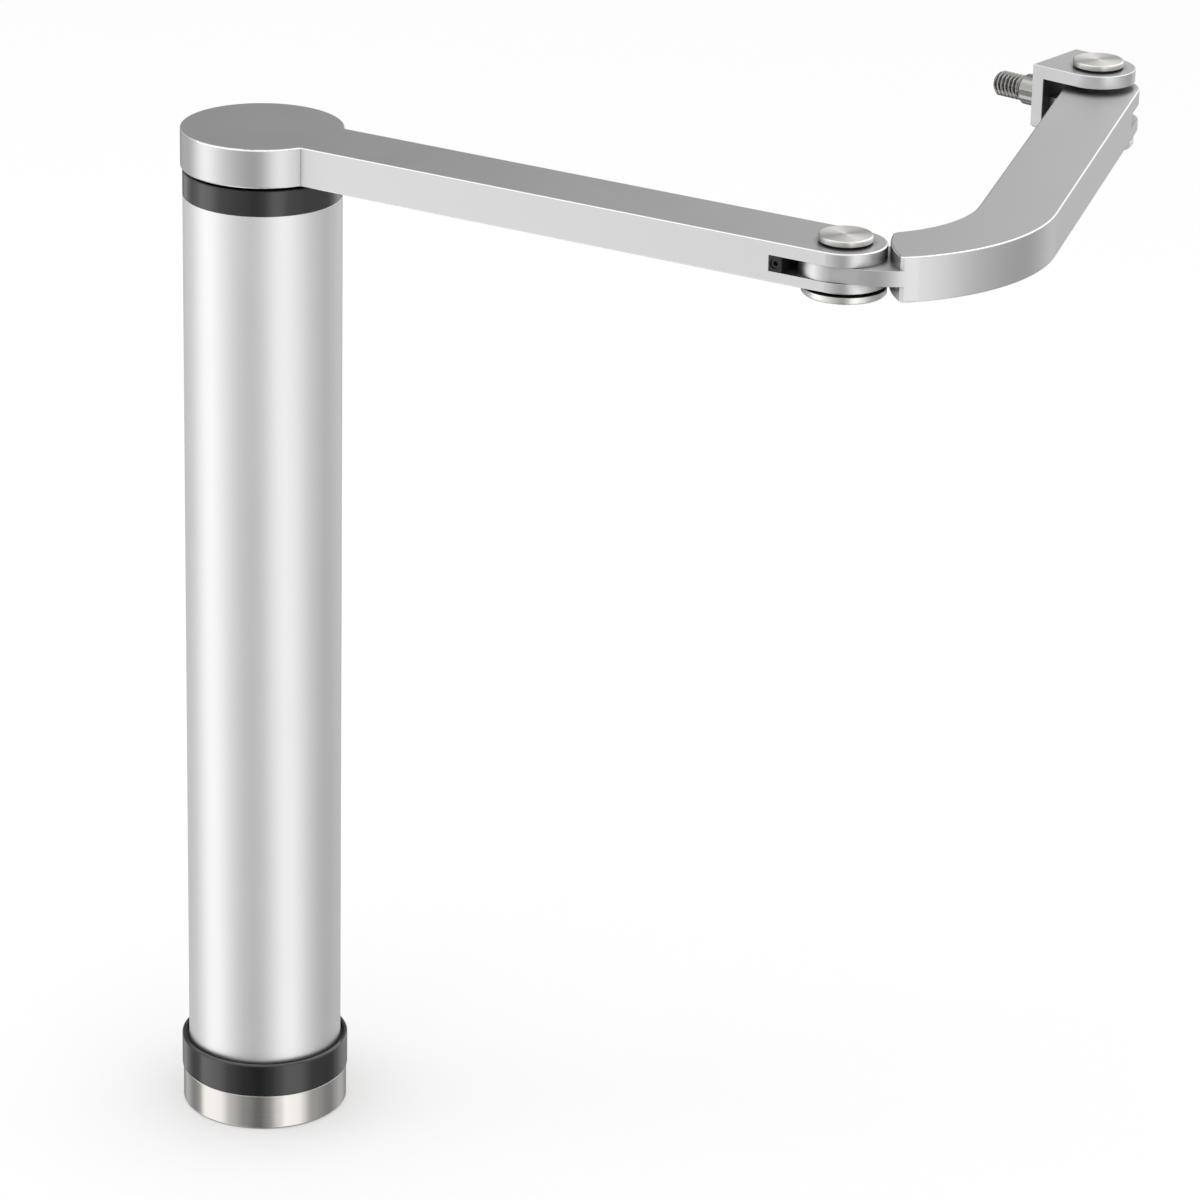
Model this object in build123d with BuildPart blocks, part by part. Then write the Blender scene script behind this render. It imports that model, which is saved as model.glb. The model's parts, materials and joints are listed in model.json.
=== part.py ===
from build123d import *
import os
from math import acos, cos, pi, radians, sin, sqrt, tan

# Motorized gate closer: an upright round drive unit that is bolted down by its foot, a swinging arm
# on top, a bent second arm, and a bracket whose stud goes to the gate. Millimetres. The origin is the
# centre of the foot's underside, +Z is the axis of the drive unit, and the first arm points along +X.

os.makedirs("parts", exist_ok=True)

# Fits and gaps
slide_gap = 0.1
running_gap = 0.04
snug_gap = 0.02
face_gap = 0.2
edge_round = 0.6
socket_share = 0.65

# Foot, collars and tube
foot_diameter = 64.6
foot_height = 15.0
foot_edge = 0.7
foot_spigot_height = 23.0
foot_pocket_wall = 5.0
foot_pocket_depth = 10.0
base_bolt_circle_diameter = 46.0
base_bolt_count = 4
base_thread_core = 5.0
base_thread_depth = 12.0
collar_diameter = 65.5
collar_height = 13.0
collar_floor = 2.0
collar_groove_width = 1.4
collar_groove_depth = 2.0
tube_diameter = 60.0
tube_wall = 4.0
tube_length = 359.0
upper_collar_height = 10.0
upper_collar_edge = 0.4
hub_gap = 1.0
tube_screw_size = 5.0
tube_screw_length = 8.0
tube_screw_count = 3
tube_screw_height = 22.5

# Cable entry
gland_diameter = 16.0
gland_bore = 8.0
gland_recess = 2.0
gland_head_diameter = 20.0
gland_head_height = 4.0
gland_nut_across_flats = 20.0
gland_nut_height = 5.0
gland_tail = 3.0

# Control board
carrier_floor = 3.0
carrier_rail_size = (5.0, 8.0)
carrier_rail_height = 40.0
carrier_hole_diameter = 12.0
board_offset = 7.0
board_width = 40.0
board_height = 92.0
board_thickness = 1.6
board_sink = 1.5
terminal_size = (22.0, 9.0, 10.0)
terminal_poles = 4
terminal_window_size = (3.3, 4.0)
terminal_well_diameter = 3.3
terminal_lift = 8.0
capacitor_diameter = 12.0
capacitor_height = 22.0
capacitor_pitch = 15.0
capacitor_lift = 45.0

# Motor
motor_diameter = 40.0
motor_length = 85.0
motor_wall = 2.0
motor_cap_thickness = 5.0
motor_flange_thickness = 7.0
motor_bearing_diameter = 16.0
motor_bearing_width = 4.5
motor_shaft_diameter = 6.0
magnet_thickness = 3.0
magnet_length = 60.0
magnet_span = 140.0
magnet_count = 2
air_gap = 0.6
rotor_length = 52.0
rotor_slots = 8
rotor_slot_width = 3.0
rotor_slot_depth = 7.0
encoder_diameter = 22.0
encoder_thickness = 1.2

# Planetary gears
gear_module = 0.9
sun_teeth = 12
planet_teeth = 15
planet_count = 3
pressure_angle = 25.0
tooth_thinning = 0.04
addendum_factor = 1.0
dedendum_factor = 1.25
first_face = 8.0
second_face = 10.0
first_carrier_thickness = 3.5
second_carrier_thickness = 4.5
planet_pin_diameter = 3.5
gearbox_screw_size = 3.0
gearbox_screw_count = 4
gearbox_screw_grip = 10.0
gearbox_screw_head_height = 3.0

# Output shaft, its bearings and the seal
shaft_diameter = 20.0
shaft_end_diameter = 17.0
shaft_shoulder_diameter = 25.0
shaft_shoulder_height = 2.5
bearing_diameter = 42.0
bearing_width = 12.0
bearing_ring_wall = 3.2
bearing_housing_length = 58.0
bearing_web_bore = 34.0
housing_flange_diameter = 57.0
housing_flange_thickness = 4.0
housing_lug_width = 5.0
housing_lug_depth = 4.0
circlip_thickness = 1.2
circlip_groove_depth = 0.6
circlip_height = 1.8
seal_thickness = 5.0
collar_screw_size = 3.0
collar_screw_count = 3
collar_screw_grip = 12.0
collar_screw_circle_diameter = 47.2

# First arm
hub_diameter = 61.5
arm_thickness = 15.0
arm_width = 30.0
arm_reach = 247.0
hub_notch_round = 1.0
hub_socket_depth = 12.0
hub_key_size = 5.0
hub_key_length = 10.0
hub_screw_size = 6.0
hub_screw_length = 16.0
upper_ear = 5.0
fork_slot = 6.0
fork_depth = 22.5
stop_face = 17.3
stop_screw_size = 4.0
stop_screw_length = 10.0
stop_screw_sink = 0.6

# Second arm: a short lead from the elbow, a tight bend, a wide bend and a long straight run
second_arm_width = 28.4
second_arm_thickness = 16.8
second_arm_rest_angle = 15.1
second_arm_tail = 2.4
second_arm_lead = 7.9
tight_bend_radius = 23.8
tight_bend_angle = 32.7
wide_bend_radius = 63.6
wide_bend_angle = 57.5
second_arm_run = 164.9
nose_radius = 45.0
nose_centre_x = 58.7
nose_centre_y = 15.9
nose_edge = 1.0
far_pin_beyond = 3.2
far_pin_inset = 2.8
far_upper_ear = 6.0
far_slot = 6.4
far_slot_reach = 16.0

# Pins, discs and bushes of both pivots
pin_diameter = 10.0
pin_head_diameter = 19.6
pin_head_height = 2.1
pin_step_diameter = 16.0
pin_step_height = 0.8
pin_head_edge = 0.4
disc_diameter = 30.4
disc_thickness = 2.6
disc_step_diameter = 22.0
elbow_disc_step_height = 1.0
bracket_disc_step_height = 4.0
disc_edge = 0.6
disc_screw_size = 5.0
disc_screw_head = 10.0
disc_screw_length = 9.0
bush_diameter = 14.0

# Gate bracket and stud
bracket_rest_angle = -8.4
bracket_width = 29.0
bracket_plate = 5.0
bracket_back = 4.9
bracket_reach = 20.3
bracket_drop = 25.3
bracket_gap = 2.0
bracket_tongue_width = 20.0
bracket_tongue_thickness = 3.4
bracket_foot_edge = 1.0
pad_thickness = 0.6
pad_height = 15.5
stud_diameter = 10.0
stud_thread_length = 13.2
stud_tip_chamfer = 1.4
stud_collar_diameter = 12.0
stud_collar_length = 12.5
stud_tail_diameter = 8.0
stud_tail_length = 3.0

# Radii and heights that follow from them
tube_radius = tube_diameter / 2
bore_radius = tube_radius - tube_wall
insert_radius = bore_radius - slide_gap
z_tube_bottom = foot_height + collar_floor
z_tube_top = z_tube_bottom + tube_length
z_collar_top = z_tube_top + upper_collar_height
z_hub = z_collar_top + hub_gap
z_arm_top = z_hub + arm_thickness
z_slot_top = z_arm_top - upper_ear
z_slot_bottom = z_slot_top - fork_slot
z_slot_middle = (z_slot_top + z_slot_bottom) / 2
tongue_thickness = fork_slot - 2 * slide_gap
z_second_top = z_arm_top
z_second_bottom = z_second_top - second_arm_thickness
z_far_slot_top = z_second_top - far_upper_ear
z_far_slot_bottom = z_far_slot_top - far_slot
z_spigot_top = foot_height + foot_spigot_height

# Gear sizes
ring_teeth = sun_teeth + 2 * planet_teeth
gear_centre = gear_module * (sun_teeth + planet_teeth) / 2
gear_addendum = gear_module * addendum_factor
gear_dedendum = gear_module * dedendum_factor
ring_tip_radius = gear_module * ring_teeth / 2 - gear_addendum
ring_root_radius = gear_module * ring_teeth / 2 + gear_dedendum
carrier_radius = ring_tip_radius - 2 * face_gap
planet_pin_radius = planet_pin_diameter / 2
mesh_step = 360 / (sun_teeth + ring_teeth)
planet_angles = [mesh_step * round(360 / planet_count * number / mesh_step) for number in range(planet_count)]
planet_centres = [
    (gear_centre * cos(radians(angle)), gear_centre * sin(radians(angle))) for angle in planet_angles
]

# Heights in the gearbox, from the bearing housing down
z_housing_bottom = z_tube_top - bearing_housing_length
z_second_carrier = z_housing_bottom - face_gap - second_carrier_thickness
z_second_planets = z_second_carrier - face_gap - second_face
z_first_carrier = z_second_planets - 2 * face_gap - first_carrier_thickness
z_first_planets = z_first_carrier - face_gap - first_face
z_ring_bottom = z_first_planets - 2 * face_gap
z_motor_flange = z_ring_bottom - motor_flange_thickness
z_motor_bottom = z_motor_flange - motor_length
z_motor_cap = z_motor_bottom - motor_cap_thickness
z_rotor = (z_motor_flange + z_motor_bottom - rotor_length) / 2
z_magnets = (z_motor_flange + z_motor_bottom - magnet_length) / 2
z_lower_bearing = z_housing_bottom - face_gap + shaft_shoulder_height
z_circlip = z_tube_top + housing_flange_thickness - seal_thickness - circlip_height + face_gap
z_upper_bearing = z_circlip - bearing_width

# Pivot of the bracket, worked out along the second arm
far_angle = second_arm_rest_angle + tight_bend_angle + wide_bend_angle
lead_way = radians(second_arm_rest_angle)
middle_way = radians(second_arm_rest_angle + tight_bend_angle)
run_way = radians(far_angle)
far_x = (
    arm_reach
    + second_arm_lead * cos(lead_way)
    + tight_bend_radius * (sin(middle_way) - sin(lead_way))
    + wide_bend_radius * (sin(run_way) - sin(middle_way))
    + (second_arm_run + far_pin_beyond) * cos(run_way)
    - far_pin_inset * sin(run_way)
)
far_y = (
    second_arm_lead * sin(lead_way)
    + tight_bend_radius * (cos(lead_way) - cos(middle_way))
    + wide_bend_radius * (cos(middle_way) - cos(run_way))
    + (second_arm_run + far_pin_beyond) * sin(run_way)
    + far_pin_inset * cos(run_way)
)


def upright_plane(x, y, z, angle=0.0):
    """A level plane at a point, its X turned by an angle about +Z."""
    return Plane(origin=(x, y, z), x_dir=(cos(radians(angle)), sin(radians(angle)), 0), z_dir=(0, 0, 1))


def radial_plane(radius, angle, z, outward=1):
    """A plane that stands on a radius of the drive unit and faces outward or inward."""
    way = (cos(radians(angle)), sin(radians(angle)), 0)
    return Plane(
        origin=(radius * way[0], radius * way[1], z),
        x_dir=(0, 0, 1),
        z_dir=(outward * way[0], outward * way[1], 0),
    )


elbow_plane = upright_plane(arm_reach, 0, 0, second_arm_rest_angle)
bracket_plane = upright_plane(far_x, far_y, 0, bracket_rest_angle)


def gear_outline(teeth, root_radius, tip_radius, thinning):
    """The closed outline of a spur gear with involute flanks, one tooth on its X axis."""
    pitch_radius = gear_module * teeth / 2
    base_radius = pitch_radius * cos(radians(pressure_angle))
    flank_start = max(base_radius, root_radius)
    half_tooth = pi / (2 * teeth) - thinning / pitch_radius
    involute_at_pitch = tan(radians(pressure_angle)) - radians(pressure_angle)

    def flank_point(centre, side, radius):
        roll = acos(base_radius / max(radius, flank_start))
        angle = centre + side * (half_tooth + involute_at_pitch - tan(roll) + roll)
        return (radius * cos(angle), radius * sin(angle))

    flank_middle = (flank_start + tip_radius) / 2
    with BuildSketch() as outline:
        with BuildLine():
            for tooth in range(teeth):
                centre = 2 * pi * tooth / teeth
                following = 2 * pi * (tooth + 1) / teeth
                for side, ends in ((-1, (root_radius, tip_radius)), (1, (tip_radius, root_radius))):
                    if root_radius < flank_start:
                        Line(flank_point(centre, side, root_radius), flank_point(centre, side, flank_start))
                    ThreePointArc(
                        flank_point(centre, side, max(ends[0], flank_start)),
                        flank_point(centre, side, flank_middle),
                        flank_point(centre, side, max(ends[1], flank_start)),
                    )
                Line(flank_point(centre, -1, tip_radius), flank_point(centre, 1, tip_radius))
                Line(flank_point(centre, 1, root_radius), flank_point(following, -1, root_radius))
        make_face()
    return outline.sketch


sun_outline = gear_outline(
    sun_teeth,
    gear_module * sun_teeth / 2 - gear_dedendum,
    gear_module * sun_teeth / 2 + gear_addendum,
    tooth_thinning,
)
planet_outline = gear_outline(
    planet_teeth,
    gear_module * planet_teeth / 2 - gear_dedendum,
    gear_module * planet_teeth / 2 + gear_addendum,
    tooth_thinning,
)
ring_gap_outline = gear_outline(ring_teeth, ring_tip_radius, ring_root_radius, -tooth_thinning)


# Foot: a turned steel base with a spigot that the tube slides over
foot_radius = foot_diameter / 2
gland_seat_height = z_spigot_top - foot_pocket_depth
with BuildPart() as foot:
    with BuildSketch():
        Circle(foot_radius)
    extrude(amount=foot_height)
    chamfer(foot.edges().filter_by(GeomType.CIRCLE), foot_edge)
    with BuildSketch(Plane.XY.offset(foot_height)):
        Circle(insert_radius)
    extrude(amount=foot_spigot_height)
    with BuildSketch(Plane.XY.offset(gland_seat_height)):
        Circle(insert_radius - foot_pocket_wall)
    extrude(amount=foot_pocket_depth, mode=Mode.SUBTRACT)
    with BuildSketch():
        with PolarLocations(base_bolt_circle_diameter / 2, base_bolt_count, start_angle=45):
            Circle(base_thread_core / 2)
    extrude(amount=base_thread_depth, mode=Mode.SUBTRACT)
    with Locations(Plane((0, 0, 0), x_dir=(1, 0, 0), z_dir=(0, 0, -1))):
        CounterBoreHole(
            gland_diameter / 2 + slide_gap,
            gland_head_diameter / 2 + slide_gap,
            gland_recess + gland_head_height,
            depth=z_spigot_top,
        )
    for number in range(tube_screw_count):
        with Locations(radial_plane(insert_radius, 360 / tube_screw_count * number, tube_screw_height)):
            Hole(tube_screw_size / 2 + snug_gap, depth=tube_screw_length)
foot.part.label = "foot"
export_step(foot.part, "parts/foot.step")

# Lower collar: a moulded cup that seals the tube's end and stands a little proud of it
with BuildPart() as lower_collar:
    with BuildSketch(Plane.XY.offset(foot_height)):
        Circle(collar_diameter / 2)
        Circle(insert_radius + slide_gap, mode=Mode.SUBTRACT)
    extrude(amount=collar_floor)
    with BuildSketch(Plane.XY.offset(z_tube_bottom)):
        Circle(collar_diameter / 2)
        Circle(tube_radius + slide_gap, mode=Mode.SUBTRACT)
    extrude(amount=collar_height - collar_floor)
    with BuildSketch(Plane.XY.offset(foot_height + collar_height)):
        Circle(tube_radius + collar_groove_width)
    extrude(amount=-collar_groove_depth, mode=Mode.SUBTRACT)
    chamfer(lower_collar.edges().group_by(Axis.Z)[-1].sort_by(SortBy.RADIUS)[-1], upper_collar_edge)
lower_collar.part.label = "lower_collar"
export_step(lower_collar.part, "parts/lower_collar.step")

# Tube: the drive unit's casing, with two notches inside its top for the bearing housing's lugs
lug_outer = (bore_radius + housing_flange_diameter / 2) / 2
with BuildPart() as housing_tube:
    with BuildSketch(Plane.XY.offset(z_tube_bottom)):
        Circle(tube_radius)
        Circle(bore_radius, mode=Mode.SUBTRACT)
    extrude(amount=tube_length)
    with BuildSketch(Plane.XY.offset(z_tube_top)):
        Rectangle(2 * (lug_outer + slide_gap), housing_lug_width + 2 * slide_gap)
        Circle(bore_radius - slide_gap, mode=Mode.SUBTRACT)
    extrude(amount=-(housing_lug_depth + slide_gap), mode=Mode.SUBTRACT)
    for number in range(tube_screw_count):
        with Locations(radial_plane(tube_radius, 360 / tube_screw_count * number, tube_screw_height)):
            Hole(tube_screw_size / 2 + slide_gap, depth=2 * tube_wall)
housing_tube.part.label = "housing_tube"
export_step(housing_tube.part, "parts/housing_tube.step")

# Grub screws that hold the tube on the spigot, under the collar's skirt
with BuildPart() as tube_screws:
    for number in range(tube_screw_count):
        screw_angle = 360 / tube_screw_count * number
        screw_plane = radial_plane(tube_radius - slide_gap, screw_angle, tube_screw_height, -1)
        with BuildSketch(screw_plane):
            Circle(tube_screw_size / 2)
        extrude(amount=tube_screw_length)
        with BuildSketch(screw_plane):
            RegularPolygon(tube_screw_size / 4, 6)
        extrude(amount=tube_screw_size / 2, mode=Mode.SUBTRACT)
tube_screws.part.label = "tube_screws"
export_step(tube_screws.part, "parts/tube_screws.step")

# Cable gland, with its nut inside the spigot
with BuildPart() as cable_gland:
    with BuildSketch(Plane.XY.offset(gland_recess)):
        Circle(gland_head_diameter / 2)
    extrude(amount=gland_head_height)
    with BuildSketch(Plane.XY.offset(gland_recess + gland_head_height)):
        Circle(gland_diameter / 2)
    extrude(amount=gland_seat_height - gland_recess - gland_head_height)
    with BuildSketch(Plane.XY.offset(gland_seat_height)):
        RegularPolygon(gland_nut_across_flats / 2, 6, major_radius=False)
    extrude(amount=gland_nut_height)
    with BuildSketch(Plane.XY.offset(gland_seat_height + gland_nut_height)):
        Circle(gland_diameter / 2)
    extrude(amount=gland_tail)
    with BuildSketch(Plane.XY.offset(gland_recess)):
        Circle(gland_bore / 2)
    extrude(amount=z_spigot_top, mode=Mode.SUBTRACT)
cable_gland.part.label = "cable_gland"
export_step(cable_gland.part, "parts/cable_gland.step")

# Carrier of the control board: a disc on the spigot with two grooved rails
z_carrier_top = z_spigot_top + carrier_floor
rail_centre = board_width / 2
with BuildPart() as board_carrier:
    with BuildSketch(Plane.XY.offset(z_spigot_top)):
        Circle(insert_radius)
        Circle(carrier_hole_diameter / 2, mode=Mode.SUBTRACT)
    extrude(amount=carrier_floor)
    with BuildSketch(Plane.XY.offset(z_carrier_top)):
        with Locations((rail_centre, board_offset), (-rail_centre, board_offset)):
            Rectangle(carrier_rail_size[0], carrier_rail_size[1])
    extrude(amount=carrier_rail_height)
    with BuildSketch(Plane.XY.offset(z_carrier_top - board_sink)):
        with Locations((0, board_offset)):
            Rectangle(board_width + 2 * slide_gap, board_thickness + 2 * slide_gap)
    extrude(amount=carrier_rail_height + board_sink, mode=Mode.SUBTRACT)
board_carrier.part.label = "board_carrier"
export_step(board_carrier.part, "parts/board_carrier.step")

# Control board
z_board = z_carrier_top - board_sink
board_front = board_offset - board_thickness / 2
with BuildPart() as control_board:
    with BuildSketch(Plane.XY.offset(z_board)):
        with Locations((0, board_offset)):
            Rectangle(board_width, board_thickness)
    extrude(amount=board_height)
    fillet(control_board.edges().filter_by(Axis.Y).group_by(Axis.Z)[-1], board_sink)
control_board.part.label = "control_board"
export_step(control_board.part, "parts/control_board.step")

# Terminal block on the board's front, with one wire hole and one screw well for each pole
pole_pitch = terminal_size[0] / terminal_poles
z_terminal = z_carrier_top + terminal_lift
with BuildPart() as terminal_block:
    with BuildSketch(Plane.XY.offset(z_terminal)):
        with Locations((0, board_front)):
            Rectangle(terminal_size[0], terminal_size[1], align=(Align.CENTER, Align.MAX))
    extrude(amount=terminal_size[2])
    with BuildSketch(Plane.XZ.offset(terminal_size[1] - board_front)):
        with Locations((0, z_terminal + terminal_size[2] / 3)):
            with GridLocations(pole_pitch, 0, terminal_poles, 1):
                Rectangle(terminal_window_size[0], terminal_window_size[1])
    extrude(amount=-terminal_size[1] / 2, mode=Mode.SUBTRACT)
    with BuildSketch(Plane.XY.offset(z_terminal + terminal_size[2])):
        with Locations((0, board_front - terminal_size[1] / 2)):
            with GridLocations(pole_pitch, 0, terminal_poles, 1):
                Circle(terminal_well_diameter / 2)
    extrude(amount=-terminal_size[2] / 5, mode=Mode.SUBTRACT)
terminal_block.part.label = "terminal_block"
export_step(terminal_block.part, "parts/terminal_block.step")

# Two capacitors that lie against the board
with BuildPart() as capacitors:
    with BuildSketch(Plane.XY.offset(z_carrier_top + capacitor_lift)):
        with Locations((0, board_front - capacitor_diameter / 2 - slide_gap)):
            with GridLocations(capacitor_pitch, 0, 2, 1):
                Circle(capacitor_diameter / 2)
    extrude(amount=capacitor_height)
    chamfer(capacitors.edges().filter_by(GeomType.CIRCLE), edge_round)
capacitors.part.label = "capacitors"
export_step(capacitors.part, "parts/capacitors.step")

# Motor can
motor_radius = motor_diameter / 2
can_radius = motor_radius - motor_wall
with BuildPart() as motor_can:
    with BuildSketch(Plane.XY.offset(z_motor_bottom)):
        Circle(motor_radius)
        Circle(can_radius, mode=Mode.SUBTRACT)
    extrude(amount=motor_length)
motor_can.part.label = "motor_can"
export_step(motor_can.part, "parts/motor_can.step")

# Two curved magnets inside the can
magnet_outer = can_radius - slide_gap
magnet_inner = magnet_outer - magnet_thickness
rotor_radius = magnet_inner - air_gap
with BuildPart() as motor_magnets:
    with BuildSketch(Plane.XY.offset(z_magnets)):
        for number in range(magnet_count):
            with BuildLine():
                first = 360 / magnet_count * number + (360 / magnet_count - magnet_span) / 2
                outer_arc = CenterArc((0, 0), magnet_outer, first, magnet_span)
                inner_arc = CenterArc((0, 0), magnet_inner, first, magnet_span)
                Line(outer_arc @ 0, inner_arc @ 0)
                Line(outer_arc @ 1, inner_arc @ 1)
            make_face()
    extrude(amount=magnet_length)
motor_magnets.part.label = "motor_magnets"
export_step(motor_magnets.part, "parts/motor_magnets.step")

# End cap of the motor, with the seat of the lower shaft bearing
motor_shaft_radius = motor_shaft_diameter / 2
motor_bearing_radius = motor_bearing_diameter / 2
with BuildPart() as motor_end_cap:
    with BuildSketch(Plane.XY.offset(z_motor_cap)):
        Circle(motor_radius)
    extrude(amount=motor_cap_thickness)
    with BuildSketch(Plane.XY.offset(z_motor_bottom)):
        Circle(can_radius - slide_gap)
        Circle(can_radius - motor_wall, mode=Mode.SUBTRACT)
    extrude(amount=motor_wall)
    with Locations((0, 0, z_motor_bottom)):
        CounterBoreHole(
            motor_shaft_radius + 2 * slide_gap,
            motor_bearing_radius + snug_gap,
            motor_bearing_width,
            depth=2 * motor_cap_thickness,
        )
motor_end_cap.part.label = "motor_end_cap"
export_step(motor_end_cap.part, "parts/motor_end_cap.step")

# Flange between motor and gears, with the seat of the upper shaft bearing and four screw holes
screw_circle_radius = (motor_radius + insert_radius) / 2
screw_radius = gearbox_screw_size / 2
with BuildPart() as motor_flange:
    with BuildSketch(Plane.XY.offset(z_motor_flange)):
        Circle(insert_radius)
    extrude(amount=motor_flange_thickness)
    with BuildSketch(Plane.XY.offset(z_motor_flange)):
        Circle(can_radius - slide_gap)
        Circle(can_radius - motor_wall, mode=Mode.SUBTRACT)
    extrude(amount=-motor_wall)
    with Locations(Plane((0, 0, z_motor_flange), x_dir=(1, 0, 0), z_dir=(0, 0, -1))):
        CounterBoreHole(
            motor_shaft_radius + 2 * slide_gap,
            motor_bearing_radius + snug_gap,
            motor_bearing_width,
            depth=motor_flange_thickness,
        )
    with BuildSketch(Plane.XY.offset(z_motor_flange)):
        with PolarLocations(screw_circle_radius, gearbox_screw_count, start_angle=45):
            Circle(screw_radius + slide_gap)
    extrude(amount=motor_flange_thickness, mode=Mode.SUBTRACT)
motor_flange.part.label = "motor_flange"
export_step(motor_flange.part, "parts/motor_flange.step")

# Sealed bearings of the motor shaft, one in each seat
with BuildPart() as motor_bearings:
    for seat in (z_motor_bottom - motor_bearing_width, z_motor_flange):
        with BuildSketch(Plane.XY.offset(seat)):
            Circle(motor_bearing_radius)
            Circle(motor_shaft_radius + running_gap, mode=Mode.SUBTRACT)
        extrude(amount=motor_bearing_width)
motor_bearings.part.label = "motor_bearings"
export_step(motor_bearings.part, "parts/motor_bearings.step")

# Motor shaft, from below the end cap up to the first sun gear
z_shaft_bottom = z_motor_cap - 2 * encoder_thickness - face_gap
with BuildPart() as rotor_shaft:
    with BuildSketch(Plane.XY.offset(z_shaft_bottom)):
        Circle(motor_shaft_radius)
    extrude(amount=z_first_planets + first_face - z_shaft_bottom)
    chamfer(rotor_shaft.edges().filter_by(GeomType.CIRCLE), slide_gap)
rotor_shaft.part.label = "rotor_shaft"
export_step(rotor_shaft.part, "parts/rotor_shaft.step")

# Slotted core of the rotor
with BuildPart() as rotor_core:
    with BuildSketch(Plane.XY.offset(z_rotor)):
        Circle(rotor_radius)
        with PolarLocations(rotor_radius, rotor_slots):
            Rectangle(2 * rotor_slot_depth, rotor_slot_width, mode=Mode.SUBTRACT)
        Circle(motor_shaft_radius + snug_gap, mode=Mode.SUBTRACT)
    extrude(amount=rotor_length)
rotor_core.part.label = "rotor_core"
export_step(rotor_core.part, "parts/rotor_core.step")

# Position disc on the shaft's lower end
with BuildPart() as encoder_disc:
    with BuildSketch(Plane.XY.offset(z_shaft_bottom + encoder_thickness)):
        Circle(encoder_diameter / 2)
        Circle(motor_shaft_radius + snug_gap, mode=Mode.SUBTRACT)
    extrude(amount=encoder_thickness)
encoder_disc.part.label = "encoder_disc"
export_step(encoder_disc.part, "parts/encoder_disc.step")

# First sun gear, fixed on the motor shaft
with BuildPart() as sun_gear:
    with BuildSketch(Plane.XY.offset(z_first_planets)):
        add(sun_outline)
        Circle(motor_shaft_radius + snug_gap, mode=Mode.SUBTRACT)
    extrude(amount=first_face)
sun_gear.part.label = "sun_gear"
export_step(sun_gear.part, "parts/sun_gear.step")

# Planets of both stages, each turning on its own pin
for stage, z_stage, face in (
    ("first", z_first_planets, first_face),
    ("second", z_second_planets, second_face),
):
    for number, (angle, centre) in enumerate(zip(planet_angles, planet_centres)):
        # The tooth that meets the sun stands half a tooth off the sun's own at this place
        planet_turn = angle + 180 - (180 - angle * sun_teeth) / planet_teeth
        with BuildPart() as planet:
            with BuildSketch(upright_plane(centre[0], centre[1], z_stage, planet_turn)):
                add(planet_outline)
                Circle(planet_pin_radius + running_gap, mode=Mode.SUBTRACT)
            extrude(amount=face)
        planet.part.label = f"{stage}_planet_{number + 1}"
        export_step(planet.part, f"parts/{stage}_planet_{number + 1}.step")

# Carrier of the first stage, in one piece with the second sun gear
with BuildPart() as first_carrier:
    with BuildSketch(Plane.XY.offset(z_first_carrier)):
        Circle(carrier_radius)
        with Locations(*planet_centres):
            Circle(planet_pin_radius + snug_gap, mode=Mode.SUBTRACT)
    extrude(amount=first_carrier_thickness)
    with BuildSketch(Plane.XY.offset(z_first_carrier + first_carrier_thickness)):
        add(sun_outline)
    extrude(amount=z_second_planets + second_face - z_first_carrier - first_carrier_thickness)
first_carrier.part.label = "first_carrier"
export_step(first_carrier.part, "parts/first_carrier.step")

# Planet pins of both stages, as one group each
for stage, z_stage, z_pin_top in (
    ("first", z_first_planets, z_first_carrier + first_carrier_thickness),
    ("second", z_second_planets, z_second_carrier + second_carrier_thickness),
):
    with BuildPart() as planet_pins:
        with BuildSketch(Plane.XY.offset(z_stage)):
            with Locations(*planet_centres):
                Circle(planet_pin_radius)
        extrude(amount=z_pin_top - z_stage)
    planet_pins.part.label = f"{stage}_planet_pins"
    export_step(planet_pins.part, f"parts/{stage}_planet_pins.step")

# Ring gear: both stages run in its teeth
with BuildPart() as ring_gear:
    with BuildSketch(Plane.XY.offset(z_ring_bottom)):
        Circle(insert_radius)
        with PolarLocations(screw_circle_radius, gearbox_screw_count, start_angle=45):
            Circle(screw_radius + slide_gap, mode=Mode.SUBTRACT)
    extrude(amount=z_housing_bottom - z_ring_bottom)
    with BuildSketch(Plane.XY.offset(z_ring_bottom)):
        add(ring_gap_outline, rotation=180 / ring_teeth * (1 - planet_teeth % 2))
    extrude(amount=z_housing_bottom - z_ring_bottom, mode=Mode.SUBTRACT)
ring_gear.part.label = "ring_gear"
export_step(ring_gear.part, "parts/ring_gear.step")

# Long screws that clamp flange, ring gear and bearing housing together. Their heads fit beside the motor.
screw_head_radius = (insert_radius - motor_radius) / 2 - slide_gap
with BuildPart() as gearbox_screws:
    with BuildSketch(Plane.XY.offset(z_motor_flange)):
        with PolarLocations(screw_circle_radius, gearbox_screw_count, start_angle=45):
            Circle(screw_radius)
    extrude(amount=z_housing_bottom + gearbox_screw_grip - z_motor_flange)
    with BuildSketch(Plane.XY.offset(z_motor_flange)):
        with PolarLocations(screw_circle_radius, gearbox_screw_count, start_angle=45):
            Circle(screw_head_radius)
    extrude(amount=-gearbox_screw_head_height)
gearbox_screws.part.label = "gearbox_screws"
export_step(gearbox_screws.part, "parts/gearbox_screws.step")

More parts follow.
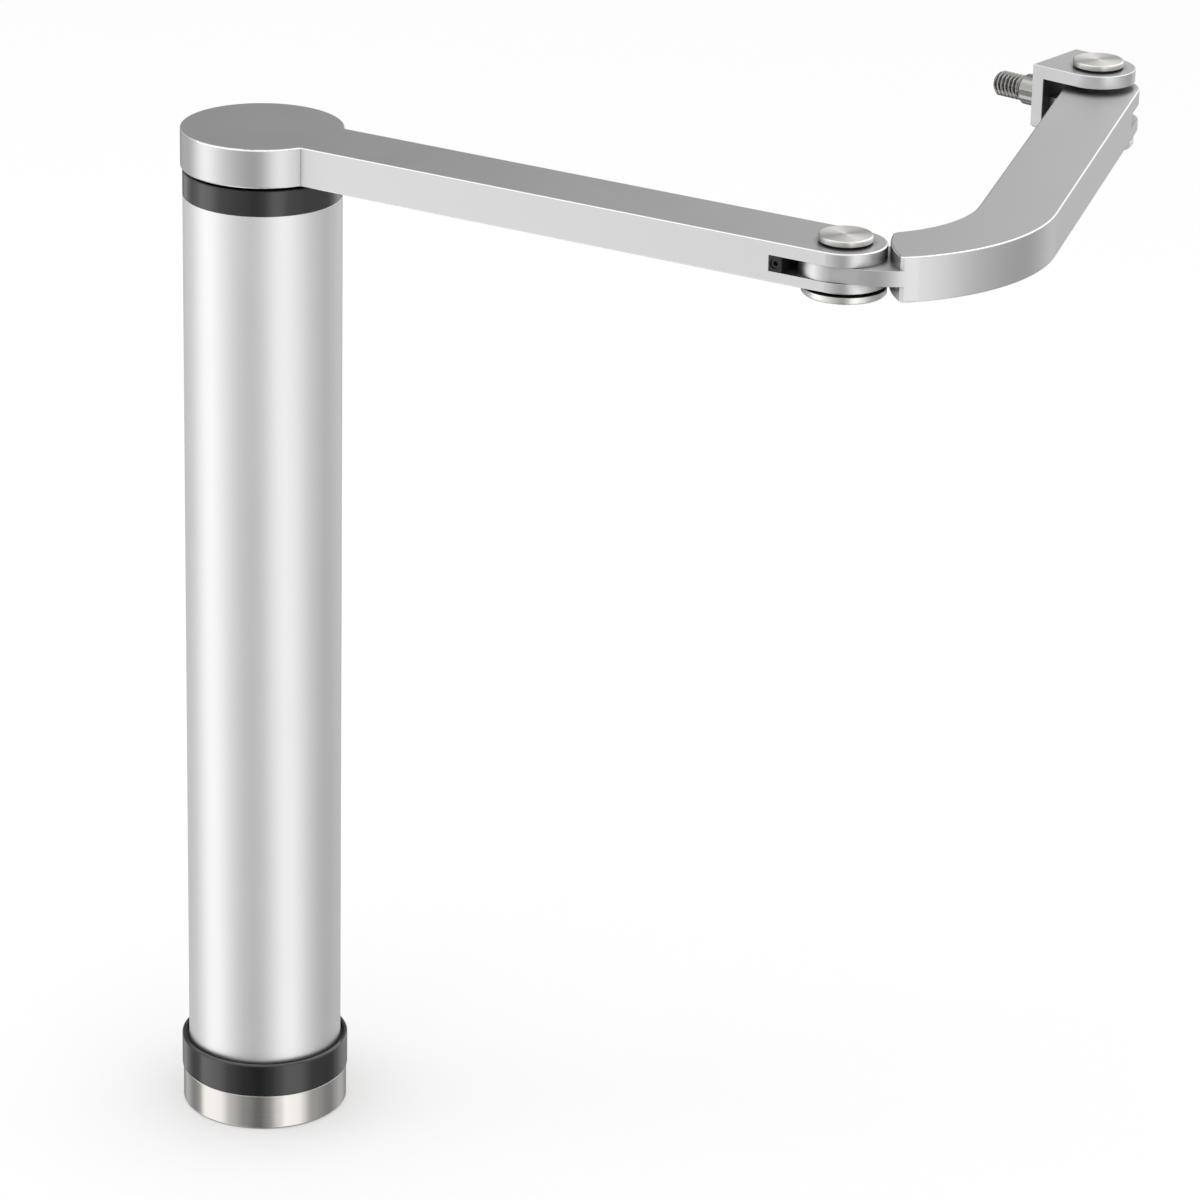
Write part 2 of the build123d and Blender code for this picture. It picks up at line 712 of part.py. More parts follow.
# Bearing housing: it hangs in the tube by its top flange and two lugs
bearing_radius = bearing_diameter / 2
collar_screw_radius = collar_screw_size / 2
with BuildPart() as bearing_housing:
    with BuildSketch(Plane.XY.offset(z_housing_bottom)):
        Circle(insert_radius)
    extrude(amount=bearing_housing_length)
    with BuildSketch(Plane.XY.offset(z_tube_top)):
        Circle(housing_flange_diameter / 2)
    extrude(amount=housing_flange_thickness)
    with BuildSketch(Plane.XY.offset(z_tube_top)):
        Rectangle(2 * lug_outer, housing_lug_width)
    extrude(amount=-housing_lug_depth)
    with BuildSketch(Plane.XY.offset(z_upper_bearing)):
        Circle(bearing_radius + snug_gap)
    extrude(amount=bearing_housing_length, mode=Mode.SUBTRACT)
    with BuildSketch(Plane.XY.offset(z_lower_bearing + bearing_width)):
        Circle(bearing_radius + snug_gap)
    extrude(amount=-bearing_housing_length, mode=Mode.SUBTRACT)
    with BuildSketch(Plane.XY.offset(z_housing_bottom)):
        Circle(bearing_web_bore / 2)
    extrude(amount=bearing_housing_length, mode=Mode.SUBTRACT)
    with BuildSketch(Plane.XY.offset(z_housing_bottom)):
        with PolarLocations(screw_circle_radius, gearbox_screw_count, start_angle=45):
            Circle(screw_radius + snug_gap)
    extrude(amount=gearbox_screw_grip + slide_gap, mode=Mode.SUBTRACT)
    with BuildSketch(Plane.XY.offset(z_tube_top + housing_flange_thickness)):
        with PolarLocations(collar_screw_circle_diameter / 2, collar_screw_count, start_angle=90):
            Circle(collar_screw_radius + snug_gap)
    extrude(amount=-(collar_screw_grip + slide_gap), mode=Mode.SUBTRACT)
bearing_housing.part.label = "bearing_housing"
export_step(bearing_housing.part, "parts/bearing_housing.step")

# Two sealed bearings, each an outer ring with its shields and an inner ring that turns with the shaft
shaft_radius = shaft_diameter / 2
inner_ring_radius = shaft_radius + bearing_ring_wall
for place, z_bearing in (("lower", z_lower_bearing), ("upper", z_upper_bearing)):
    with BuildPart() as outer_ring:
        with BuildSketch(Plane.XY.offset(z_bearing)):
            Circle(bearing_radius)
            Circle(inner_ring_radius + running_gap, mode=Mode.SUBTRACT)
        extrude(amount=bearing_width)
        chamfer(outer_ring.edges().filter_by(GeomType.CIRCLE).group_by(SortBy.RADIUS)[-1], edge_round)
    outer_ring.part.label = f"{place}_bearing_outer"
    export_step(outer_ring.part, f"parts/{place}_bearing_outer.step")
    with BuildPart() as inner_ring:
        with BuildSketch(Plane.XY.offset(z_bearing)):
            Circle(inner_ring_radius)
            Circle(shaft_radius + snug_gap, mode=Mode.SUBTRACT)
        extrude(amount=bearing_width)
        chamfer(inner_ring.edges().filter_by(GeomType.CIRCLE).group_by(SortBy.RADIUS)[0], edge_round / 2)
    inner_ring.part.label = f"{place}_bearing_inner"
    export_step(inner_ring.part, f"parts/{place}_bearing_inner.step")

# Output shaft, in one piece with the carrier of the second stage
shoulder_radius = shaft_shoulder_diameter / 2
shaft_end_radius = shaft_end_diameter / 2
z_carrier_face = z_second_carrier + second_carrier_thickness
z_shaft_top = z_hub + hub_socket_depth - face_gap
z_key = z_hub + (hub_socket_depth - hub_key_length) / 2
with BuildPart() as output_shaft:
    with BuildSketch(Plane.XZ):
        with BuildLine():
            Polyline(
                (0, z_second_carrier),
                (carrier_radius, z_second_carrier),
                (carrier_radius, z_carrier_face),
                (shoulder_radius, z_carrier_face),
                (shoulder_radius, z_lower_bearing),
                (shaft_radius, z_lower_bearing),
                (shaft_radius, z_hub),
                (shaft_end_radius, z_hub),
                (shaft_end_radius, z_shaft_top - edge_round),
                (shaft_end_radius - edge_round, z_shaft_top),
                (0, z_shaft_top),
                close=True,
            )
        make_face()
    revolve(axis=Axis.Z)
    with BuildSketch(Plane.XY.offset(z_second_carrier)):
        with Locations(*planet_centres):
            Circle(planet_pin_radius + snug_gap)
    extrude(amount=second_carrier_thickness, mode=Mode.SUBTRACT)
    with BuildSketch(Plane.XY.offset(z_circlip)):
        Circle(shaft_radius + slide_gap)
        Circle(shaft_radius - circlip_groove_depth, mode=Mode.SUBTRACT)
    extrude(amount=circlip_thickness + slide_gap, mode=Mode.SUBTRACT)
    with BuildSketch(Plane.XY.offset(z_key)):
        with Locations((shaft_end_radius, 0)):
            Rectangle(hub_key_size + 2 * snug_gap, hub_key_size + 2 * snug_gap)
    extrude(amount=z_shaft_top - z_key, mode=Mode.SUBTRACT)
output_shaft.part.label = "output_shaft"
export_step(output_shaft.part, "parts/output_shaft.step")

# Circlip above the upper bearing
with BuildPart() as shaft_circlip:
    with BuildSketch(Plane.XY.offset(z_circlip)):
        Circle(inner_ring_radius - running_gap)
        Circle(shaft_radius - circlip_groove_depth + snug_gap, mode=Mode.SUBTRACT)
        with Locations((0, shaft_radius)):
            Rectangle(shaft_radius / 2, 2 * bearing_ring_wall, mode=Mode.SUBTRACT)
    extrude(amount=circlip_thickness)
shaft_circlip.part.label = "shaft_circlip"
export_step(shaft_circlip.part, "parts/shaft_circlip.step")

# Shaft seal in the top of the bearing housing
z_flange_top = z_tube_top + housing_flange_thickness
with BuildPart() as shaft_seal:
    with BuildSketch(Plane.XZ):
        with BuildLine():
            Polyline(
                (bearing_radius, z_flange_top - seal_thickness),
                (bearing_radius, z_flange_top),
                (shaft_radius + 2 * bearing_ring_wall, z_flange_top),
                (shaft_radius + running_gap, z_flange_top - seal_thickness / 2),
                (shaft_radius + 2 * bearing_ring_wall, z_flange_top - seal_thickness / 2),
                (shaft_radius + 2 * bearing_ring_wall, z_flange_top - seal_thickness),
                close=True,
            )
        make_face()
    revolve(axis=Axis.Z)
shaft_seal.part.label = "shaft_seal"
export_step(shaft_seal.part, "parts/shaft_seal.step")

# Upper collar: a moulded cap, flush with the tube, that covers the bearing housing
with BuildPart() as upper_collar:
    with BuildSketch(Plane.XY.offset(z_tube_top)):
        Circle(tube_radius)
        Circle(housing_flange_diameter / 2 + slide_gap, mode=Mode.SUBTRACT)
    extrude(amount=housing_flange_thickness)
    with BuildSketch(Plane.XY.offset(z_flange_top)):
        Circle(tube_radius)
        Circle(shaft_radius + 3 * slide_gap, mode=Mode.SUBTRACT)
    extrude(amount=z_collar_top - z_flange_top)
    chamfer(upper_collar.edges().group_by(Axis.Z)[-1].sort_by(SortBy.RADIUS)[-1], upper_collar_edge)
    with Locations((0, 0, z_collar_top)):
        with PolarLocations(collar_screw_circle_diameter / 2, collar_screw_count, start_angle=90):
            CounterSinkHole(
                collar_screw_radius + slide_gap, 2 * (collar_screw_radius + slide_gap), counter_sink_angle=90
            )
upper_collar.part.label = "upper_collar"
export_step(upper_collar.part, "parts/upper_collar.step")

# Countersunk screws of the upper collar, hidden under the hub
z_collar_screw = z_collar_top - slide_gap
with BuildPart() as collar_screws:
    with BuildSketch(Plane.XY.offset(z_collar_screw)):
        with PolarLocations(collar_screw_circle_diameter / 2, collar_screw_count, start_angle=90):
            Circle(2 * collar_screw_radius)
    extrude(amount=-collar_screw_radius, taper=45)
    with BuildSketch(Plane.XY.offset(z_collar_screw)):
        with PolarLocations(collar_screw_circle_diameter / 2, collar_screw_count, start_angle=90):
            Circle(collar_screw_radius)
    extrude(amount=z_flange_top - collar_screw_grip - z_collar_screw)
    with BuildSketch(Plane.XY.offset(z_collar_screw)):
        with PolarLocations(collar_screw_circle_diameter / 2, collar_screw_count, start_angle=90):
            RegularPolygon(collar_screw_radius * socket_share, 6)
    extrude(amount=-collar_screw_radius, mode=Mode.SUBTRACT)
collar_screws.part.label = "collar_screws"
export_step(collar_screws.part, "parts/collar_screws.step")

# First arm: hub, bar and forked end in one machined piece
hub_radius = hub_diameter / 2
half_arm = arm_width / 2
pin_radius = pin_diameter / 2
hub_notch_x = sqrt(hub_radius**2 - half_arm**2)
with BuildPart() as drive_arm:
    with BuildSketch(Plane.XY.offset(z_hub)) as arm_face:
        Circle(hub_radius)
        Rectangle(arm_reach, arm_width, align=(Align.MIN, Align.CENTER))
        with Locations((arm_reach, 0)):
            Circle(half_arm)
        hub_notches = arm_face.vertices().filter_by_position(Axis.X, hub_notch_x - 1, hub_notch_x + 1)
        fillet(hub_notches, hub_notch_round)
    extrude(amount=arm_thickness)
    fillet(drive_arm.edges().group_by(Axis.Z)[-1], edge_round)
    fillet(drive_arm.edges().group_by(Axis.Z)[0], edge_round)
    with BuildSketch(Plane.XY.offset(z_slot_bottom)):
        with Locations((arm_reach - fork_depth, 0)):
            Rectangle(2 * fork_depth, 2 * arm_width, align=(Align.MIN, Align.CENTER))
    extrude(amount=fork_slot, mode=Mode.SUBTRACT)
    with BuildSketch(Plane.XY.offset(z_hub)):
        with Locations((arm_reach, 0)):
            Circle(pin_radius + snug_gap)
    extrude(amount=arm_thickness, mode=Mode.SUBTRACT)
    with BuildSketch(Plane.XY.offset(z_hub)):
        Circle(shaft_end_radius + snug_gap)
        with Locations((shaft_end_radius, 0)):
            Rectangle(hub_key_size + 2 * snug_gap, hub_key_size + 2 * snug_gap)
    extrude(amount=hub_socket_depth, mode=Mode.SUBTRACT)
    with Locations(radial_plane(hub_radius, 180, z_hub + hub_socket_depth / 2)):
        Hole(hub_screw_size / 2 + snug_gap, depth=hub_radius - shaft_end_radius / 2)
drive_arm.part.label = "drive_arm"
export_step(drive_arm.part, "parts/drive_arm.step")

# Key between output shaft and hub
with BuildPart() as hub_key:
    with BuildSketch(Plane.XY.offset(z_key)):
        with Locations((shaft_end_radius, 0)):
            Rectangle(hub_key_size, hub_key_size)
    extrude(amount=hub_key_length)
hub_key.part.label = "hub_key"
export_step(hub_key.part, "parts/hub_key.step")

# Grub screw in the hub's back that clamps the shaft
with BuildPart() as hub_screw:
    screw_start = radial_plane(shaft_end_radius + snug_gap, 180, z_hub + hub_socket_depth / 2)
    with BuildSketch(screw_start):
        Circle(hub_screw_size / 2)
    extrude(amount=hub_screw_length)
    with BuildSketch(screw_start.offset(hub_screw_length)):
        RegularPolygon(hub_screw_size / 4, 6)
    extrude(amount=-hub_screw_size / 2, mode=Mode.SUBTRACT)
hub_screw.part.label = "hub_screw"
export_step(hub_screw.part, "parts/hub_screw.step")

# Stop block at the root of the first arm's slot
stop_x = arm_reach - (fork_depth + stop_face) / 2
with BuildPart() as stop_block:
    with BuildSketch(Plane.XY.offset(z_slot_bottom + slide_gap / 2)):
        with Locations((arm_reach - fork_depth + slide_gap / 2, 0)):
            Rectangle(fork_depth - stop_face, arm_width - slide_gap, align=(Align.MIN, Align.CENTER))
    extrude(amount=fork_slot - slide_gap)
    with Locations(Plane((stop_x, -half_arm, z_slot_middle), x_dir=(1, 0, 0), z_dir=(0, -1, 0))):
        Hole(stop_screw_size / 2 + snug_gap, depth=stop_screw_length + stop_screw_sink + slide_gap)
stop_block.part.label = "stop_block"
export_step(stop_block.part, "parts/stop_block.step")

# Socket screw in the front of the stop block
with BuildPart() as stop_screw:
    stop_screw_face = Plane(
        origin=(stop_x, -(half_arm - slide_gap / 2 - stop_screw_sink), z_slot_middle),
        x_dir=(1, 0, 0),
        z_dir=(0, 1, 0),
    )
    with BuildSketch(stop_screw_face):
        Circle(stop_screw_size / 2)
    extrude(amount=stop_screw_length)
    with BuildSketch(stop_screw_face):
        RegularPolygon(stop_screw_size / 4, 6)
    extrude(amount=stop_screw_size / 2, mode=Mode.SUBTRACT)
stop_screw.part.label = "stop_screw"
export_step(stop_screw.part, "parts/stop_screw.step")

# Pins, discs and disc screws of both pivots. The elbow's ride on the first arm, the others on the bracket.
z_plate = z_second_top + bracket_gap
z_bracket_top = z_plate + bracket_plate
pin_step_radius = pin_step_diameter / 2
pin_head_radius = pin_head_diameter / 2
disc_step_radius = disc_step_diameter / 2
disc_radius = disc_diameter / 2
disc_screw_radius = disc_screw_size / 2
disc_screw_head_radius = disc_screw_head / 2
disc_screw_sink = disc_screw_head_radius - disc_screw_radius
for place, centre, z_seat, z_end, disc_step_height in (
    ("elbow", (arm_reach, 0), z_arm_top, z_hub, elbow_disc_step_height),
    ("bracket", (far_x, far_y), z_bracket_top, z_second_bottom - face_gap, bracket_disc_step_height),
):
    pivot_section = Plane(origin=(centre[0], centre[1], 0), x_dir=(1, 0, 0), z_dir=(0, -1, 0))
    pivot_axis = Axis((centre[0], centre[1], 0), (0, 0, 1))
    z_head = z_seat + pin_step_height + pin_head_height
    z_disc_top = z_end - disc_step_height
    z_disc_bottom = z_disc_top - disc_thickness
    with BuildPart() as pin:
        with BuildSketch(pivot_section):
            with BuildLine():
                Polyline(
                    (0, z_end),
                    (pin_radius, z_end),
                    (pin_radius, z_seat),
                    (pin_step_radius, z_seat),
                    (pin_step_radius, z_seat + pin_step_height),
                    (pin_head_radius, z_seat + pin_step_height),
                    (pin_head_radius, z_head - pin_head_edge),
                    (pin_head_radius - pin_head_edge, z_head),
                    (0, z_head),
                    close=True,
                )
            make_face()
        revolve(axis=pivot_axis)
        with BuildSketch(upright_plane(centre[0], centre[1], z_end)):
            Circle(disc_screw_radius + snug_gap)
        extrude(amount=disc_screw_length, mode=Mode.SUBTRACT)
    pin.part.label = f"{place}_pin"
    export_step(pin.part, f"parts/{place}_pin.step")

    with BuildPart() as disc:
        with BuildSketch(pivot_section):
            with BuildLine():
                Polyline(
                    (disc_screw_radius + slide_gap, z_end),
                    (disc_step_radius, z_end),
                    (disc_step_radius, z_disc_top),
                    (disc_radius, z_disc_top),
                    (disc_radius, z_disc_bottom + disc_edge),
                    (disc_radius - disc_edge, z_disc_bottom),
                    (disc_screw_head_radius + slide_gap, z_disc_bottom),
                    (disc_screw_radius + slide_gap, z_disc_bottom + disc_screw_sink),
                    close=True,
                )
            make_face()
        revolve(axis=pivot_axis)
    disc.part.label = f"{place}_disc"
    export_step(disc.part, f"parts/{place}_disc.step")

    with BuildPart() as disc_screw:
        with BuildSketch(upright_plane(centre[0], centre[1], z_disc_bottom)):
            Circle(disc_screw_head_radius)
        extrude(amount=disc_screw_sink, taper=45)
        with BuildSketch(upright_plane(centre[0], centre[1], z_disc_bottom)):
            Circle(disc_screw_radius)
        extrude(amount=disc_screw_length)
        with BuildSketch(upright_plane(centre[0], centre[1], z_disc_bottom)):
            RegularPolygon(disc_screw_radius * socket_share, 6)
        extrude(amount=disc_screw_radius, mode=Mode.SUBTRACT)
    disc_screw.part.label = f"{place}_disc_screw"
    export_step(disc_screw.part, f"parts/{place}_disc_screw.step")

# Second arm: one bent bar. Its thin tongue turns in the first arm's slot, and its far end is slotted.
half_second = second_arm_width / 2
z_tongue_bottom = z_slot_bottom + slide_gap
z_tongue_top = z_tongue_bottom + tongue_thickness
bush_radius = bush_diameter / 2
nose_centre = elbow_plane.from_local_coords((nose_centre_x, nose_centre_y, 0))


def on_the_nose(edge):
    """Whether an upright edge stands on the hollow curve of the nose."""
    from_centre = edge.center() - nose_centre
    return abs(sqrt(from_centre.X**2 + from_centre.Y**2) - nose_radius) < slide_gap


with BuildPart() as gate_arm:
    with BuildSketch(upright_plane(arm_reach, 0, z_second_bottom, second_arm_rest_angle)):
        with BuildLine():
            lead_outer = Line((-second_arm_tail, -half_second), (second_arm_lead, -half_second))
            tight_outer = JernArc(
                lead_outer @ 1, lead_outer % 1, tight_bend_radius + half_second, tight_bend_angle
            )
            wide_outer = JernArc(
                tight_outer @ 1, tight_outer % 1, wide_bend_radius + half_second, wide_bend_angle
            )
            run_outer = Line(wide_outer @ 1, wide_outer @ 1 + (wide_outer % 1) * second_arm_run)
            far_end = JernArc(run_outer @ 1, run_outer % 1, half_second, 180)
            run_inner = Line(far_end @ 1, far_end @ 1 + (far_end % 1) * second_arm_run)
            wide_inner = JernArc(
                run_inner @ 1, run_inner % 1, wide_bend_radius - half_second, -wide_bend_angle
            )
            tight_inner = JernArc(
                wide_inner @ 1, wide_inner % 1, tight_bend_radius - half_second, -tight_bend_angle
            )
            lead_inner = Line(tight_inner @ 1, (-second_arm_tail, half_second))
            JernArc(lead_inner @ 1, lead_inner % 1, half_second, 180)
        make_face()
    extrude(amount=second_arm_thickness)
    for z_cut, depth in (
        (z_tongue_top, z_second_top - z_tongue_top),
        (z_tongue_bottom, z_second_bottom - z_tongue_bottom),
    ):
        with BuildSketch(upright_plane(arm_reach, 0, z_cut, second_arm_rest_angle)):
            Rectangle(2 * second_arm_width, 1.5 * second_arm_width)
            with Locations((nose_centre_x, nose_centre_y)):
                Circle(nose_radius, mode=Mode.SUBTRACT)
        extrude(amount=depth, mode=Mode.SUBTRACT)
    chamfer(gate_arm.edges().filter_by(Axis.Z).filter_by(on_the_nose), nose_edge)
    fillet(gate_arm.edges().group_by(Axis.Z)[-1], edge_round)
    fillet(gate_arm.edges().group_by(Axis.Z)[0], edge_round)
    with BuildSketch(upright_plane(far_x, far_y, z_far_slot_bottom, far_angle)):
        with Locations((-far_slot_reach, 0)):
            Rectangle(2 * second_arm_width, 4 * second_arm_width, align=(Align.MIN, Align.CENTER))
    extrude(amount=far_slot, mode=Mode.SUBTRACT)
    with BuildSketch(Plane.XY.offset(z_second_bottom)):
        with Locations((arm_reach, 0), (far_x, far_y)):
            Circle(bush_radius + snug_gap)
    extrude(amount=second_arm_thickness, mode=Mode.SUBTRACT)
gate_arm.part.label = "gate_arm"
export_step(gate_arm.part, "parts/gate_arm.step")

# Bush in the second arm's tongue
with BuildPart() as elbow_bush:
    with BuildSketch(upright_plane(arm_reach, 0, z_slot_bottom + slide_gap / 2)):
        Circle(bush_radius)
        Circle(pin_radius + running_gap, mode=Mode.SUBTRACT)
    extrude(amount=fork_slot - slide_gap)
elbow_bush.part.label = "elbow_bush"
export_step(elbow_bush.part, "parts/elbow_bush.step")

# Bushes in the two ears of the second arm's far end
with BuildPart() as bracket_bushes:
    for z_bush, height in (
        (z_second_bottom, z_far_slot_bottom - z_second_bottom),
        (z_far_slot_top, z_second_top - z_far_slot_top),
    ):
        with BuildSketch(upright_plane(far_x, far_y, z_bush)):
            Circle(bush_radius)
            Circle(pin_radius + running_gap, mode=Mode.SUBTRACT)
        extrude(amount=height)
bracket_bushes.part.label = "bracket_bushes"
export_step(bracket_bushes.part, "parts/bracket_bushes.step")

# Gate bracket: top plate, back plate and a tongue that enters the second arm's slot
half_bracket = bracket_width / 2
back_inside = bracket_reach - bracket_back
z_bracket_bottom = z_bracket_top - bracket_drop
z_bracket_tongue = z_far_slot_top - slide_gap - bracket_tongue_thickness
z_stud = (z_second_top + z_second_bottom) / 2
back_centre = bracket_plane.from_local_coords((-bracket_reach, 0, z_stud))
stud_way = bracket_plane.x_dir * -1
with BuildPart() as gate_bracket:
    with BuildSketch(bracket_plane.offset(z_plate)):
        Circle(half_bracket)
        Rectangle(bracket_reach, bracket_width, align=(Align.MAX, Align.CENTER))
    extrude(amount=bracket_plate)
    with BuildSketch(bracket_plane.offset(z_bracket_bottom)):
        with Locations((-bracket_reach, 0)):
            Rectangle(bracket_back, bracket_width, align=(Align.MIN, Align.CENTER))
    extrude(amount=bracket_drop)
    chamfer(gate_bracket.edges().group_by(Axis.Z)[0], bracket_foot_edge)
    fillet(gate_bracket.edges().group_by(Axis.Z)[-1], edge_round / 2)
    with BuildSketch(bracket_plane.offset(z_bracket_tongue)):
        Circle(half_bracket)
        Rectangle(back_inside + bracket_back / 2, bracket_tongue_width, align=(Align.MAX, Align.CENTER))
    extrude(amount=bracket_tongue_thickness)
    with BuildSketch(bracket_plane.offset(z_bracket_bottom)):
        Circle(pin_radius + snug_gap)
    extrude(amount=bracket_drop, mode=Mode.SUBTRACT)
    with BuildSketch(Plane(origin=back_centre, z_dir=stud_way)):
        Circle(stud_tail_diameter / 2 + snug_gap)
    extrude(amount=-(stud_tail_length + slide_gap / 2), mode=Mode.SUBTRACT)
gate_bracket.part.label = "gate_bracket"
export_step(gate_bracket.part, "parts/gate_bracket.step")

# Polymer pad on the inside of the back plate, with a window for the tongue
pad_plane = Plane(
    origin=bracket_plane.from_local_coords((-back_inside, 0, 0)),
    x_dir=bracket_plane.y_dir,
    z_dir=bracket_plane.x_dir,
)
with BuildPart() as bracket_pad:
    with BuildSketch(pad_plane):
        with Locations((0, z_plate - slide_gap)):
            Rectangle(bracket_width, pad_height, align=(Align.CENTER, Align.MAX))
        with Locations((0, z_bracket_tongue + bracket_tongue_thickness / 2)):
            Rectangle(
                bracket_tongue_width + 2 * slide_gap,
                bracket_tongue_thickness + 2 * slide_gap,
                mode=Mode.SUBTRACT,
            )
    extrude(amount=pad_thickness)
bracket_pad.part.label = "bracket_pad"
export_step(bracket_pad.part, "parts/bracket_pad.step")

# Stud to the gate: a tail pressed in the back plate, a plain collar and a threaded end
with BuildPart() as gate_stud:
    with BuildSketch(Plane(origin=back_centre, z_dir=stud_way)):
        Circle(stud_collar_diameter / 2)
    extrude(amount=stud_collar_length)
    with BuildSketch(Plane(origin=back_centre, z_dir=stud_way).offset(stud_collar_length)):
        Circle(stud_diameter / 2)
    extrude(amount=stud_thread_length)
    stud_tip = gate_stud.faces().sort_by(Axis(back_centre, stud_way))[-1]
    chamfer(stud_tip.edges(), stud_tip_chamfer)
    with BuildSketch(Plane(origin=back_centre, z_dir=stud_way)):
        Circle(stud_tail_diameter / 2)
    extrude(amount=-stud_tail_length)
gate_stud.part.label = "gate_stud"
export_step(gate_stud.part, "parts/gate_stud.step")
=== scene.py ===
"""Looks of a motorized gate closer: finishes, the stud's thread, studio light and camera.

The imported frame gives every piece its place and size. This script dresses the pieces, makes the
threaded stud as a mesh and sets up the studio. Lengths are in metres, angles in degrees.
"""

import json
import logging
import math
from dataclasses import dataclass, field
from enum import Enum
from typing import Callable, Optional

import bmesh
import bpy
from mathutils import Matrix, Vector

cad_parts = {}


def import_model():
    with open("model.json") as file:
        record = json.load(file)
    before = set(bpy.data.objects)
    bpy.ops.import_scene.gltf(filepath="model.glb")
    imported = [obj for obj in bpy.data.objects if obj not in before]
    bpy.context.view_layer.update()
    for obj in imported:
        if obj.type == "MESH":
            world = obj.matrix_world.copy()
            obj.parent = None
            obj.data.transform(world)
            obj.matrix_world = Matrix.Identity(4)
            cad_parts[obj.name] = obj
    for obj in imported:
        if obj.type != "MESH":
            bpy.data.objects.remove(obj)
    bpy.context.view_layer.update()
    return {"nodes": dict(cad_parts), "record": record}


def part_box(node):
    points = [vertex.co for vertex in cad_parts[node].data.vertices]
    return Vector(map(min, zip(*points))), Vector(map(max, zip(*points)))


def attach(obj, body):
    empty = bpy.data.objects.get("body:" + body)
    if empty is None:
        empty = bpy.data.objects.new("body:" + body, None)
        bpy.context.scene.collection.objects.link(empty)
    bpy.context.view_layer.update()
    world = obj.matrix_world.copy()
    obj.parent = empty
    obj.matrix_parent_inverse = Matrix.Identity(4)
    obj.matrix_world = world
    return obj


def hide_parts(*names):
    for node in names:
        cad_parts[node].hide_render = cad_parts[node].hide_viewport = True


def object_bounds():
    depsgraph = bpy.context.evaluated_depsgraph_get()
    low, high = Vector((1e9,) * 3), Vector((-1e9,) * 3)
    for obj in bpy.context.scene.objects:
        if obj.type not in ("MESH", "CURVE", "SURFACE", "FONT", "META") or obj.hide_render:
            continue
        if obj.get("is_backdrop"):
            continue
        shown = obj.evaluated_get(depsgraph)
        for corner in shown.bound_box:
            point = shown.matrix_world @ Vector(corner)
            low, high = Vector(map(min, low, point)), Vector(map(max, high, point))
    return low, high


LOG = logging.getLogger("gate_closer")
MILLIMETRE = 0.001
WELD_DISTANCE = 0.005 * MILLIMETRE
QUARTER_TURN = 0.25

Colour = tuple[float, float, float]
RadiusAt = Callable[[float], float]


class Lay(Enum):
    """How the fine marks of a finish lie on its surface."""

    EVEN = "even"
    UPRIGHT = "upright"
    ROUND_THE_AXIS = "round_the_axis"


class FloorBand(Enum):
    """What the studio shows low down: bearing from the camera in degrees, and level."""

    BACK_LEFT = (-180.0, 0.14)
    BACK_LEFT_END = (-164.0, 0.30)
    LEFT_EDGE = (-146.0, 0.58)
    LEFT_FLAG = (-118.0, 0.28)
    LEFT_RISE = (-108.0, 0.38)
    LEFT_BOX_START = (-95.0, 1.40)
    LEFT_BOX_END = (-68.0, 1.45)
    LEFT_FALL = (-50.0, 0.66)
    FRONT_LEFT_FLAG = (-28.0, 0.28)
    FRONT_FLAG = (-8.0, 0.13)
    FRONT_RISE = (6.0, 0.30)
    RIGHT_RISE = (20.0, 0.85)
    RIGHT_BOX_START = (31.0, 1.50)
    RIGHT_BOX_END = (46.0, 1.50)
    RIGHT_FALL = (72.0, 0.44)
    RIGHT_FLAG = (104.0, 0.26)
    RIGHT_EDGE = (134.0, 0.56)
    BACK_RIGHT_END = (162.0, 0.32)
    BACK_RIGHT = (180.0, 0.14)


class LowBand(Enum):
    """What it shows from there up to the horizon."""

    BACK_LEFT = (-180.0, 0.06)
    BACK_LEFT_END = (-164.0, 0.18)
    LEFT_EDGE = (-146.0, 0.62)
    LEFT_FLAG = (-122.0, 0.45)
    LEFT_RISE = (-110.0, 0.80)
    LEFT_BOX_START = (-97.0, 1.60)
    LEFT_BOX_END = (-82.0, 1.62)
    LEFT_FALL = (-62.0, 0.86)
    FRONT_LEFT_FLAG = (-28.0, 0.68)
    FRONT_FLAG = (-10.0, 0.44)
    FRONT_RISE = (2.0, 0.68)
    RIGHT_RISE = (10.0, 1.25)
    RIGHT_BOX_START = (15.0, 1.65)
    RIGHT_BOX_END = (23.0, 1.65)
    RIGHT_FALL = (40.0, 0.84)
    RIGHT_LOW = (70.0, 0.66)
    RIGHT_FLAG = (110.0, 0.46)
    RIGHT_EDGE = (138.0, 0.90)
    BACK_RIGHT_END = (162.0, 0.32)
    BACK_RIGHT = (180.0, 0.06)


class HighBand(Enum):
    """What it shows above the horizon, with a rim light at the back right."""

    BACK_LEFT = (-180.0, 0.28)
    BACK_LEFT_END = (-140.0, 0.32)
    LEFT_BOX_START = (-110.0, 1.05)
    LEFT_BOX_END = (-60.0, 1.05)
    FRONT = (0.0, 0.80)
    RIGHT_BOX = (60.0, 1.05)
    RIM_START = (118.0, 1.35)
    RIM_END = (146.0, 1.45)
    RIM_FALL = (162.0, 1.00)
    BACK_RIGHT = (180.0, 0.28)


